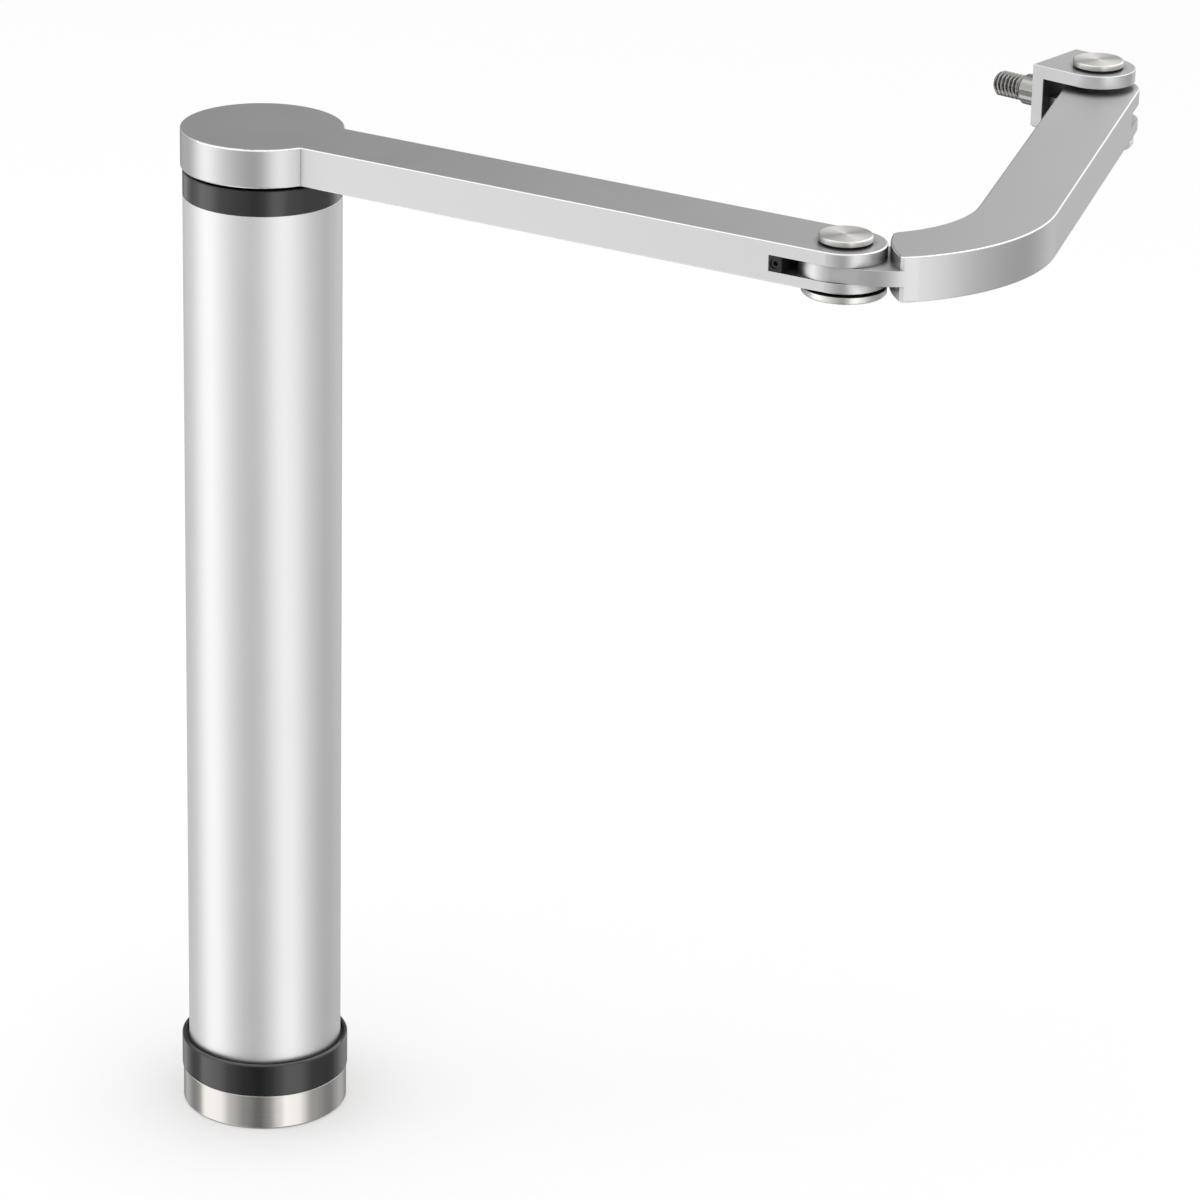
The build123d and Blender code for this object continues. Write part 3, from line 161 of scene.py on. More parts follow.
class NodeTree:
    """A thin helper round a node tree: it adds nodes with their values and links them."""

    def __init__(self, tree: bpy.types.NodeTree) -> None:
        """Keeps the tree and empties it.

        Args:
            tree: the material's, world's or group's node tree.
        """
        self.tree = tree
        tree.nodes.clear()

    def add(self, kind: str, inputs: Optional[dict] = None, **settings: object) -> bpy.types.Node:
        """Adds one node.

        Args:
            kind: the node's type name.
            inputs: a value or an output socket for each named or numbered input.
            **settings: attributes of the node itself.

        Returns:
            The new node.
        """
        node = self.tree.nodes.new(kind)
        for name, value in settings.items():
            setattr(node, name, value)
        for name, value in (inputs or {}).items():
            if isinstance(value, bpy.types.NodeSocket):
                self.tree.links.new(value, node.inputs[name])
            else:
                node.inputs[name].default_value = value
        return node

    def math(self, operation: str, *values: object) -> bpy.types.NodeSocket:
        """Adds a math node and returns its output.

        Args:
            operation: the node's operation.
            *values: up to three numbers or output sockets.

        Returns:
            The node's output socket.
        """
        return self.add("ShaderNodeMath", dict(enumerate(values)), operation=operation).outputs[0]

    def vector(self, operation: str, *values: object, output: str = "Vector") -> bpy.types.NodeSocket:
        """Adds a vector math node and returns one of its outputs.

        Args:
            operation: the node's operation.
            *values: up to three vectors or output sockets.
            output: the output's name.

        Returns:
            The named output socket.
        """
        node = self.add("ShaderNodeVectorMath", dict(enumerate(values)), operation=operation)
        return node.outputs[output]

    def scaled(self, value: bpy.types.NodeSocket, factor: bpy.types.NodeSocket) -> bpy.types.NodeSocket:
        """Scales a vector by a number.

        Args:
            value: the vector's socket.
            factor: the number's socket.

        Returns:
            The scaled vector's socket.
        """
        node = self.add("ShaderNodeVectorMath", {0: value, "Scale": factor}, operation="SCALE")
        return node.outputs["Vector"]

    def ramp(
        self, value: bpy.types.NodeSocket, start: float, end: float, **settings: object
    ) -> bpy.types.NodeSocket:
        """Turns a number into a mask.

        Args:
            value: the number's socket.
            start: where the mask is 0.
            end: where the mask is 1.
            **settings: attributes of the node, such as its interpolation.

        Returns:
            The mask's socket.
        """
        limits = {"Value": value, "From Min": start, "From Max": end}
        return self.add("ShaderNodeMapRange", limits, **settings).outputs["Result"]

    def blend(self, share: bpy.types.NodeSocket, low: object, high: object) -> bpy.types.NodeSocket:
        """Blends two numbers.

        Args:
            share: the share of the second one, as a socket.
            low: the first number or its socket.
            high: the second number or its socket.

        Returns:
            The blend's socket.
        """
        return self.add("ShaderNodeMix", {"Factor": share, 2: low, 3: high}).outputs[0]


def shader_group(
    name: str, inputs: dict[str, object], outputs: dict[str, str]
) -> tuple[NodeTree, bpy.types.Node]:
    """Starts a shader node group with typed inputs and outputs.

    Args:
        name: the group's name.
        inputs: the default value of each input. A tuple makes a vector input, a number a float.
        outputs: the socket type of each output.

    Returns:
        The helper round the group's tree, and the group's input node.
    """
    tree = bpy.data.node_groups.new(name, "ShaderNodeTree")
    for label, value in inputs.items():
        kind = "NodeSocketVector" if isinstance(value, tuple) else "NodeSocketFloat"
        socket = tree.interface.new_socket(label, in_out="INPUT", socket_type=kind)
        socket.default_value = value
    for label, kind in outputs.items():
        tree.interface.new_socket(label, in_out="OUTPUT", socket_type=kind)
    nodes = NodeTree(tree)
    return nodes, nodes.add("NodeGroupInput")


@dataclass
class SurfaceEffects:
    """The shader node groups that several finishes share, each built once.

    Attributes:
        broad_scale: the scale of the grain's broad part against its fine part.
        broad_share: the share of that broad part in the grain.
        wobble_scale: how quickly the turned marks change from one to the next.
        wave_share: the share of the tool's even wave in the turned marks.
        edge_start: how far the rounded normal agrees with the flat one where an edge's wear polish and
            painted highlight start.
        edge_full: how far it agrees where the wear polish and painted highlight are full.
        slant_start: the slant at which a fillet's painted highlight starts.
        slant_full: the slant at which it is full.
        shade_power: how quickly the painted shade deepens towards a corner.
        trees: the groups made so far.
    """

    broad_scale: float = 0.12
    broad_share: float = 0.4
    wobble_scale: float = 0.7
    wave_share: float = 0.15
    edge_start: float = 0.995
    edge_full: float = 0.90
    slant_start: float = 0.03
    slant_full: float = 0.15
    shade_power: float = 1.5
    trees: dict[str, bpy.types.NodeTree] = field(default_factory=dict)

    def group(self, name: str) -> bpy.types.NodeTree:
        """Returns a shared group, and builds it on first use.

        Args:
            name: the group's name, which is also its builder's name.

        Returns:
            The group's node tree.
        """
        if name not in self.trees:
            builders: dict[str, Callable[[], bpy.types.NodeTree]] = {
                "fine_grain": self.fine_grain,
                "turned_marks": self.turned_marks,
                "handled_patches": self.handled_patches,
                "rounded_edges_and_highlight": self.rounded_edges_and_highlight,
                "painted_corner_shade": self.painted_corner_shade,
            }
            self.trees[name] = builders[name]()
        return self.trees[name]

    def fine_grain(self) -> bpy.types.NodeTree:
        """Builds the fine grain of a brushed, drawn or blasted surface.

        Returns:
            A group with Place, Stretch and Size inputs, and Grain and Height outputs.
        """
        nodes, entry = shader_group(
            "fine_grain",
            {"Place": (0.0, 0.0, 0.0), "Stretch": (1.0, 1.0, 1.0), "Size": 0.0004},
            {"Grain": "NodeSocketFloat", "Height": "NodeSocketFloat"},
        )
        stretched = nodes.vector("MULTIPLY", entry.outputs["Place"], entry.outputs["Stretch"])
        marks = nodes.scaled(stretched, nodes.math("DIVIDE", 1.0, entry.outputs["Size"]))
        sharp = {"Vector": marks, "Scale": 1.0, "Detail": 3.0, "Roughness": 0.6}
        fine = nodes.add("ShaderNodeTexNoise", sharp)
        broad = nodes.add("ShaderNodeTexNoise", {"Vector": marks, "Scale": self.broad_scale, "Detail": 2.0})
        fine_part = nodes.math("MULTIPLY", fine.outputs["Fac"], 1.0 - self.broad_share)
        both = nodes.math("MULTIPLY_ADD", broad.outputs["Fac"], self.broad_share, fine_part)
        nodes.add("NodeGroupOutput", {"Grain": both, "Height": fine.outputs["Fac"]})
        return nodes.tree

    def turned_marks(self) -> bpy.types.NodeTree:
        """Builds the rings that a lathe tool leaves round an upright axis.

        Returns:
            A group with Place, Centre and Pitch inputs, and Rings and Height outputs.
        """
        nodes, entry = shader_group(
            "turned_marks",
            {"Place": (0.0, 0.0, 0.0), "Centre": (0.0, 0.0, 0.0), "Pitch": 0.0003},
            {"Rings": "NodeSocketFloat", "Height": "NodeSocketFloat"},
        )
        arm = nodes.vector("SUBTRACT", entry.outputs["Place"], entry.outputs["Centre"])
        flat = nodes.vector("MULTIPLY", arm, (1.0, 1.0, 0.0))
        radius = nodes.vector("LENGTH", flat, output="Value")
        level = nodes.add("ShaderNodeSeparateXYZ", {"Vector": arm}).outputs["Z"]
        along = nodes.math("DIVIDE", nodes.math("ADD", radius, level), entry.outputs["Pitch"])
        wobble = nodes.add(
            "ShaderNodeTexNoise",
            {"W": along, "Scale": self.wobble_scale, "Detail": 4.0},
            noise_dimensions="1D",
        )
        wave = nodes.math("SINE", nodes.math("MULTIPLY", along, math.tau))
        height = nodes.math("MULTIPLY_ADD", wave, self.wave_share, wobble.outputs["Fac"])
        nodes.add("NodeGroupOutput", {"Rings": wobble.outputs["Fac"], "Height": height})
        return nodes.tree

    def handled_patches(self) -> bpy.types.NodeTree:
        """Builds the faint broad patches of a surface that has been handled and wiped.

        Returns:
            A group with Place and Size inputs, and a Patches output.
        """
        nodes, entry = shader_group(
            "handled_patches",
            {"Place": (0.0, 0.0, 0.0), "Size": 0.03},
            {"Patches": "NodeSocketFloat"},
        )
        spread = nodes.scaled(entry.outputs["Place"], nodes.math("DIVIDE", 1.0, entry.outputs["Size"]))
        soft = {"Vector": spread, "Scale": 1.0, "Detail": 4.0, "Roughness": 0.55}
        cloud = nodes.add("ShaderNodeTexNoise", soft)
        nodes.add("NodeGroupOutput", {"Patches": cloud.outputs["Fac"]})
        return nodes.tree

    def rounded_edges_and_highlight(self) -> bpy.types.NodeTree:
        """Builds the rounding of a piece's edges and the mask of their wear polish and painted highlight.

        Returns:
            A group with Radius and Fillets inputs, a soft Normal output and an Edge mask output.
        """
        nodes, entry = shader_group(
            "rounded_edges_and_highlight",
            {"Radius": 0.0003, "Fillets": 0.0},
            {"Normal": "NodeSocketVector", "Edge": "NodeSocketFloat"},
        )
        rounded = nodes.add("ShaderNodeBevel", {"Radius": entry.outputs["Radius"]}, samples=4)
        flat = nodes.add("ShaderNodeNewGeometry")
        agree = nodes.vector("DOT_PRODUCT", rounded.outputs["Normal"], flat.outputs["Normal"], output="Value")
        bevel_edge = nodes.ramp(agree, self.edge_start, self.edge_full)
        # Fillets between upright and level faces get a painted highlight.
        normal_parts = nodes.add("ShaderNodeSeparateXYZ", {"Vector": flat.outputs["Normal"]})
        upward = nodes.math("ABSOLUTE", normal_parts.outputs["Z"])
        sideways = nodes.math("SQRT", nodes.math("SUBTRACT", 1.0, nodes.math("MULTIPLY", upward, upward)))
        slant = nodes.math("SUBTRACT", 1.0, nodes.math("MAXIMUM", upward, sideways))
        fillet = nodes.ramp(slant, self.slant_start, self.slant_full)
        fillet_highlight_mask = nodes.math("MULTIPLY", fillet, entry.outputs["Fillets"])
        edge = nodes.math("MAXIMUM", bevel_edge, fillet_highlight_mask)
        nodes.add("NodeGroupOutput", {"Normal": rounded.outputs["Normal"], "Edge": edge})
        return nodes.tree

    def painted_corner_shade(self) -> bpy.types.NodeTree:
        """Builds the painted shade that darkens corners, seams and grooves.

        Returns:
            A group with Reach and Depth inputs, and a Shade output that is 1 on open surfaces.
        """
        nodes, entry = shader_group(
            "painted_corner_shade", {"Reach": 0.002, "Depth": 0.5}, {"Shade": "NodeSocketFloat"}
        )
        open_share = nodes.add("ShaderNodeAmbientOcclusion", {"Distance": entry.outputs["Reach"]}, samples=6)
        closed = nodes.math("SUBTRACT", 1.0, nodes.math("POWER", open_share.outputs["AO"], self.shade_power))
        shade = nodes.math("SUBTRACT", 1.0, nodes.math("MULTIPLY", closed, entry.outputs["Depth"]))
        nodes.add("NodeGroupOutput", {"Shade": shade})
        return nodes.tree


@dataclass(frozen=True)
class Finish:
    """One finish: its colour and sheen, the marks and patches on it, its edges' wear polish and painted
    highlight, and its painted corner shade.

    Attributes:
        name: the material's name.
        colour: base colour, linear.
        metallic: 1 for bare metal, 0 for polymer and rubber.
        roughness: the mean roughness.
        lay: how the fine marks lie.
        grain_size: the width of one mark.
        grain_length: how many widths long a mark is.
        grain_depth: the height of the marks.
        roughness_swing: how far the marks and patches move the roughness.
        colour_swing: how far they move the colour.
        anisotropy: how much the marks stretch reflections.
        centre: the upright axis that turned marks go round.
        edge_radius: how far edges are rounded, 0 for none.
        edge_wear_and_highlight: how much brighter an edge is painted, partly for wear polish and partly as a
            painted highlight.
        fillet_highlight: the share of that brightening on fillets between upright and level faces, a painted
            highlight.
        coat: the weight of a clear coat.
        coat_roughness: the coat's own roughness.
        specular: how strongly a surface that isn't metal mirrors, 0.5 for a usual one.
        painted_corner_shade: how dark the painted shade in corners and grooves gets, 0 for none.
        corner_reach: how far from a corner its painted shade reaches.
    """

    name: str
    colour: Colour
    metallic: float = 1.0
    roughness: float = 0.35
    lay: Lay = Lay.EVEN
    grain_size: float = 0.00025
    grain_length: float = 1.0
    grain_depth: float = 0.000004
    roughness_swing: float = 0.08
    colour_swing: float = 0.04
    anisotropy: float = 0.0
    centre: tuple[float, float, float] = (0.0, 0.0, 0.0)
    edge_radius: float = 0.00025
    edge_wear_and_highlight: float = 0.15
    fillet_highlight: float = 0.0
    coat: float = 0.0
    coat_roughness: float = 0.2
    specular: float = 0.5
    painted_corner_shade: float = 0.0
    corner_reach: float = 0.002

    def stretch(self) -> tuple[float, float, float]:
        """Returns how much the grain is shortened along each axis."""
        return (1.0, 1.0, 1.0 / self.grain_length) if self.lay is Lay.UPRIGHT else (1.0, 1.0, 1.0)

    def add_marks(
        self, nodes: NodeTree, effects: SurfaceEffects, place: bpy.types.NodeSocket
    ) -> tuple[bpy.types.NodeSocket, bpy.types.NodeSocket]:
        """Adds the fine marks, turned or grained.

        Args:
            nodes: the material's nodes.
            effects: the shared shader groups.
            place: the place on the surface.

        Returns:
            The sockets of the marks' tone and of their height.
        """
        turned = self.lay is Lay.ROUND_THE_AXIS
        tree = effects.group("turned_marks" if turned else "fine_grain")
        marks = nodes.add("ShaderNodeGroup", node_tree=tree)
        nodes.tree.links.new(place, marks.inputs["Place"])
        if turned:
            marks.inputs["Centre"].default_value = self.centre
            marks.inputs["Pitch"].default_value = self.grain_size
        else:
            marks.inputs["Stretch"].default_value = self.stretch()
            marks.inputs["Size"].default_value = self.grain_size
        return marks.outputs[0], marks.outputs["Height"]

    def add_shader(self, nodes: NodeTree) -> bpy.types.Node:
        """Adds the shader with the values that are the same all over the surface.

        Args:
            nodes: the material's nodes.

        Returns:
            The shader's node.
        """
        values = {
            "Metallic": self.metallic,
            "Coat Weight": self.coat,
            "Coat Roughness": self.coat_roughness,
            "Specular IOR Level": self.specular,
            "Anisotropic": self.anisotropy,
        }
        if self.anisotropy > 0.0:
            direction = nodes.add("ShaderNodeTangent", direction_type="RADIAL", axis="Z")
            values["Tangent"] = direction.outputs["Tangent"]
            values["Anisotropic Rotation"] = QUARTER_TURN if self.lay is Lay.ROUND_THE_AXIS else 0.0
        return nodes.add("ShaderNodeBsdfPrincipled", values)

    def material(self, effects: SurfaceEffects) -> bpy.types.Material:
        """Builds the material.

        Args:
            effects: the shared shader groups.

        Returns:
            The new material.
        """
        result = bpy.data.materials.new(self.name)
        result.use_nodes = True
        nodes = NodeTree(result.node_tree)
        links = nodes.tree.links
        place = nodes.add("ShaderNodeTexCoord").outputs["Object"]
        grain, height = self.add_marks(nodes, effects, place)
        patches = nodes.add("ShaderNodeGroup", node_tree=effects.group("handled_patches"))
        links.new(place, patches.inputs["Place"])
        half_grain = nodes.math("MULTIPLY", grain, 0.5)
        mixed = nodes.math("MULTIPLY_ADD", patches.outputs["Patches"], 0.5, half_grain)
        centred = nodes.math("SUBTRACT", mixed, 0.5)
        shade = nodes.math("MULTIPLY_ADD", centred, 2.0 * self.colour_swing, 1.0)
        shader = self.add_shader(nodes)
        bump = nodes.add("ShaderNodeBump", {"Height": height, "Strength": 1.0, "Distance": self.grain_depth})
        # Edges are painted brighter, partly for wear polish and partly as a painted highlight; fillets get a
        # painted highlight.
        if self.edge_radius > 0.0:
            edges = nodes.add("ShaderNodeGroup", node_tree=effects.group("rounded_edges_and_highlight"))
            edges.inputs["Radius"].default_value = self.edge_radius
            edges.inputs["Fillets"].default_value = self.fillet_highlight
            links.new(edges.outputs["Normal"], bump.inputs["Normal"])
            shade = nodes.math("MULTIPLY_ADD", edges.outputs["Edge"], self.edge_wear_and_highlight, shade)
        # Painted shade: corners, seams and grooves darken the colour and, on a coated finish, the coat's
        # gloss.
        if self.painted_corner_shade > 0.0:
            corners = nodes.add("ShaderNodeGroup", node_tree=effects.group("painted_corner_shade"))
            corners.inputs["Reach"].default_value = self.corner_reach
            corners.inputs["Depth"].default_value = self.painted_corner_shade
            shade = nodes.math("MULTIPLY", shade, corners.outputs["Shade"])
            if self.coat > 0.0:
                coat = nodes.math("MULTIPLY", corners.outputs["Shade"], self.coat)
                links.new(coat, shader.inputs["Coat Weight"])
        tint = nodes.add("ShaderNodeCombineColor")
        for channel, level in zip(("Red", "Green", "Blue"), self.colour):
            links.new(nodes.math("MULTIPLY", shade, level), tint.inputs[channel])
        roughness = nodes.math("MULTIPLY_ADD", centred, 2.0 * self.roughness_swing, self.roughness)
        links.new(tint.outputs["Color"], shader.inputs["Base Color"])
        links.new(roughness, shader.inputs["Roughness"])
        links.new(bump.outputs["Normal"], shader.inputs["Normal"])
        nodes.add("ShaderNodeOutputMaterial", {"Surface": shader.outputs["BSDF"]})
        return result


@dataclass
class Workshop:
    """Makes each finish once and puts it on the pieces.

    Attributes:
        nodes: the frame's nodes by name.
        effects: the shared shader groups.
        made: the materials made so far.
    """

    nodes: dict[str, bpy.types.Object]
    effects: SurfaceEffects = field(default_factory=SurfaceEffects)
    made: dict[str, bpy.types.Material] = field(default_factory=dict)

    def material(self, finish: Finish) -> bpy.types.Material:
        """Returns a finish's material, and builds it on first use.

        Args:
            finish: the finish.

        Returns:
            Its material.
        """
        if finish.name not in self.made:
            self.made[finish.name] = finish.material(self.effects)
        return self.made[finish.name]

    def dress(self, finish: Finish, *names: str) -> None:
        """Puts a finish on nodes of the frame.

        Args:
            finish: the finish.
            *names: the nodes' names.
        """
        for name in names:
            for slot in self.nodes[name].material_slots:
                slot.material = self.material(finish)
            LOG.info("%s: %s", name, finish.name)


@dataclass
class DriveUnit:
    """The upright drive unit: foot, collars, tube and what they hold."""

    # The foot's chamfered edges are painted brighter, partly for wear polish and partly as a painted
    # highlight.
    foot_steel: Finish = Finish(
        "turned_foot_steel", (0.64, 0.62, 0.595), roughness=0.16, lay=Lay.ROUND_THE_AXIS, anisotropy=0.8,
        grain_size=0.0005, grain_depth=0.000006, roughness_swing=0.06, colour_swing=0.05,
        edge_radius=0.0004, edge_wear_and_highlight=0.3,
    )
    tube_skin: Finish = Finish(
        "drawn_tube_aluminium", (0.86, 0.86, 0.86), roughness=0.44, lay=Lay.UPRIGHT, anisotropy=0.4,
        grain_size=0.0003, grain_length=60.0, grain_depth=0.000003, roughness_swing=0.04, colour_swing=0.015,
    )
    # Painted shade in the collars' grooves dims their colour and coat; their edges are painted brighter,
    # partly for wear and partly as a painted highlight.
    collar_polymer: Finish = Finish(
        "satin_black_polymer", (0.006, 0.006, 0.006), metallic=0.0, roughness=0.22, grain_size=0.0002,
        grain_depth=0.000004, roughness_swing=0.06, colour_swing=0.1, edge_radius=0.0003, edge_wear_and_highlight=0.6,
        coat=0.9, coat_roughness=0.12, specular=0.3, painted_corner_shade=1.0, corner_reach=0.003,
    )
    housing_skin: Finish = Finish("cast_housing_aluminium", (0.70, 0.70, 0.69), roughness=0.42)
    plated_steel: Finish = Finish("plated_motor_steel", (0.50, 0.51, 0.53), roughness=0.33)
    magnet: Finish = Finish("sintered_magnet", (0.07, 0.07, 0.075), metallic=0.4, roughness=0.6)
    winding: Finish = Finish(
        "lacquered_winding", (0.52, 0.24, 0.10), roughness=0.34, lay=Lay.UPRIGHT, grain_size=0.0006,
        grain_length=40.0, grain_depth=0.00006,
    )
    board: Finish = Finish("solder_mask", (0.02, 0.16, 0.07), metallic=0.0, roughness=0.35, coat=0.3)
    terminal: Finish = Finish("terminal_polymer", (0.03, 0.26, 0.09), metallic=0.0, roughness=0.45)
    sleeve: Finish = Finish("capacitor_sleeve", (0.02, 0.025, 0.05), metallic=0.0, roughness=0.25, coat=0.4)
    gear_steel: Finish = Finish("cut_gear_steel", (0.50, 0.50, 0.51), roughness=0.32, grain_size=0.0004)
    bearing_steel: Finish = Finish("ground_bearing_steel", (0.66, 0.66, 0.68), roughness=0.18)
    screw_steel: Finish = Finish("black_oxide_steel", (0.05, 0.05, 0.055), metallic=0.6, roughness=0.42)
    seal_rubber: Finish = Finish("seal_rubber", (0.012, 0.012, 0.012), metallic=0.0, roughness=0.7)

    def dress(self, workshop: Workshop) -> None:
        """Puts the drive unit's finishes on its nodes.

        Args:
            workshop: makes the finishes and holds the nodes.
        """
        workshop.dress(self.foot_steel, "foot")
        workshop.dress(self.tube_skin, "housing_tube")
        workshop.dress(self.collar_polymer, "lower_collar", "upper_collar", "cable_gland", "board_carrier")
        workshop.dress(self.collar_polymer, "encoder_disc")
        workshop.dress(self.housing_skin, "bearing_housing")
        workshop.dress(self.plated_steel, "motor_can", "motor_end_cap", "motor_flange")
        workshop.dress(self.magnet, "motor_magnets")
        workshop.dress(self.winding, "rotor_core")
        workshop.dress(self.board, "control_board")
        workshop.dress(self.terminal, "terminal_block")
        workshop.dress(self.sleeve, "capacitors")
        workshop.dress(self.gear_steel, "ring_gear", "sun_gear", "first_carrier")
        for stage in ("first", "second"):
            workshop.dress(self.gear_steel, *(f"{stage}_planet_{number}" for number in (1, 2, 3)))
            workshop.dress(self.bearing_steel, f"{stage}_planet_pins")
        workshop.dress(self.bearing_steel, "motor_bearings", "rotor_shaft", "output_shaft")
        for place in ("lower", "upper"):
            workshop.dress(self.bearing_steel, f"{place}_bearing_outer", f"{place}_bearing_inner")
        workshop.dress(self.screw_steel, "tube_screws", "gearbox_screws", "collar_screws", "shaft_circlip")
        workshop.dress(self.seal_rubber, "shaft_seal")


@dataclass
class ArmSet:
    """Both arms with their pivots, the stop block and the gate bracket."""

    # The arms get a painted highlight on their edges and fillets, and painted shade in their corners, slots
    # and round the pin heads.
    arm_skin: Finish = Finish(
        "satin_arm_aluminium", (0.66, 0.66, 0.665), roughness=0.36, grain_size=0.00022,
        grain_depth=0.0000025, roughness_swing=0.05, colour_swing=0.03, edge_radius=0.0002,
        edge_wear_and_highlight=0.45, fillet_highlight=1.0, painted_corner_shade=0.6, corner_reach=0.0025,
    )
    # Black for the stop block, and for the bracket pad, a thin sheet that stands in for the shade inside the
    # bracket's throat.
    stop_and_shade_pad_black: Finish = Finish(
        "stop_block_and_shade_pad_polymer", (0.006, 0.006, 0.006), metallic=0.0, roughness=0.5, grain_size=0.0002
    )
    screw_steel: Finish = Finish(
        "black_oxide_socket_steel", (0.03, 0.03, 0.032), metallic=0.5, roughness=0.35
    )
    bronze: Finish = Finish("sintered_bush_bronze", (0.52, 0.36, 0.17), roughness=0.4)
    key_steel: Finish = Finish("drawn_key_steel", (0.52, 0.52, 0.53), roughness=0.3)

    def pivot_steel(self, name: str, low: Vector, high: Vector) -> Finish:
        """Returns the turned steel of one pivot, with rings round that pivot's axis.

        Args:
            name: the finish's name.
            low: the lowest corner of the pivot's pin.
            high: its highest corner.

        Returns:
            The finish.
        """
        # The pins and discs get painted shade at their sides and seats, and edges painted brighter, partly
        # for wear and partly as a painted highlight.
        return Finish(
            name, (0.80, 0.785, 0.76), roughness=0.34, lay=Lay.ROUND_THE_AXIS, anisotropy=0.9,
            centre=tuple((low + high) / 2), grain_size=0.00028, grain_depth=0.000004, roughness_swing=0.06,
            edge_radius=0.0002, edge_wear_and_highlight=0.25, painted_corner_shade=1.0, corner_reach=0.0035,
        )

    def dress(self, workshop: Workshop) -> None:
        """Puts the arms' finishes on their nodes.

        Args:
            workshop: makes the finishes and holds the nodes.
        """
        workshop.dress(self.arm_skin, "drive_arm", "gate_arm", "gate_bracket")
        # The bracket pad is a thin black sheet on the back plate's inner face; it is painted shade for the
        # bracket's throat.
        workshop.dress(self.stop_and_shade_pad_black, "stop_block", "bracket_pad")
        workshop.dress(self.screw_steel, "stop_screw", "hub_screw")
        workshop.dress(self.bronze, "elbow_bush", "bracket_bushes")
        workshop.dress(self.key_steel, "hub_key")
        for place in ("elbow", "bracket"):
            finish = self.pivot_steel(f"turned_{place}_steel", *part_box(f"{place}_pin"))
            workshop.dress(finish, f"{place}_pin", f"{place}_disc", f"{place}_disc_screw")


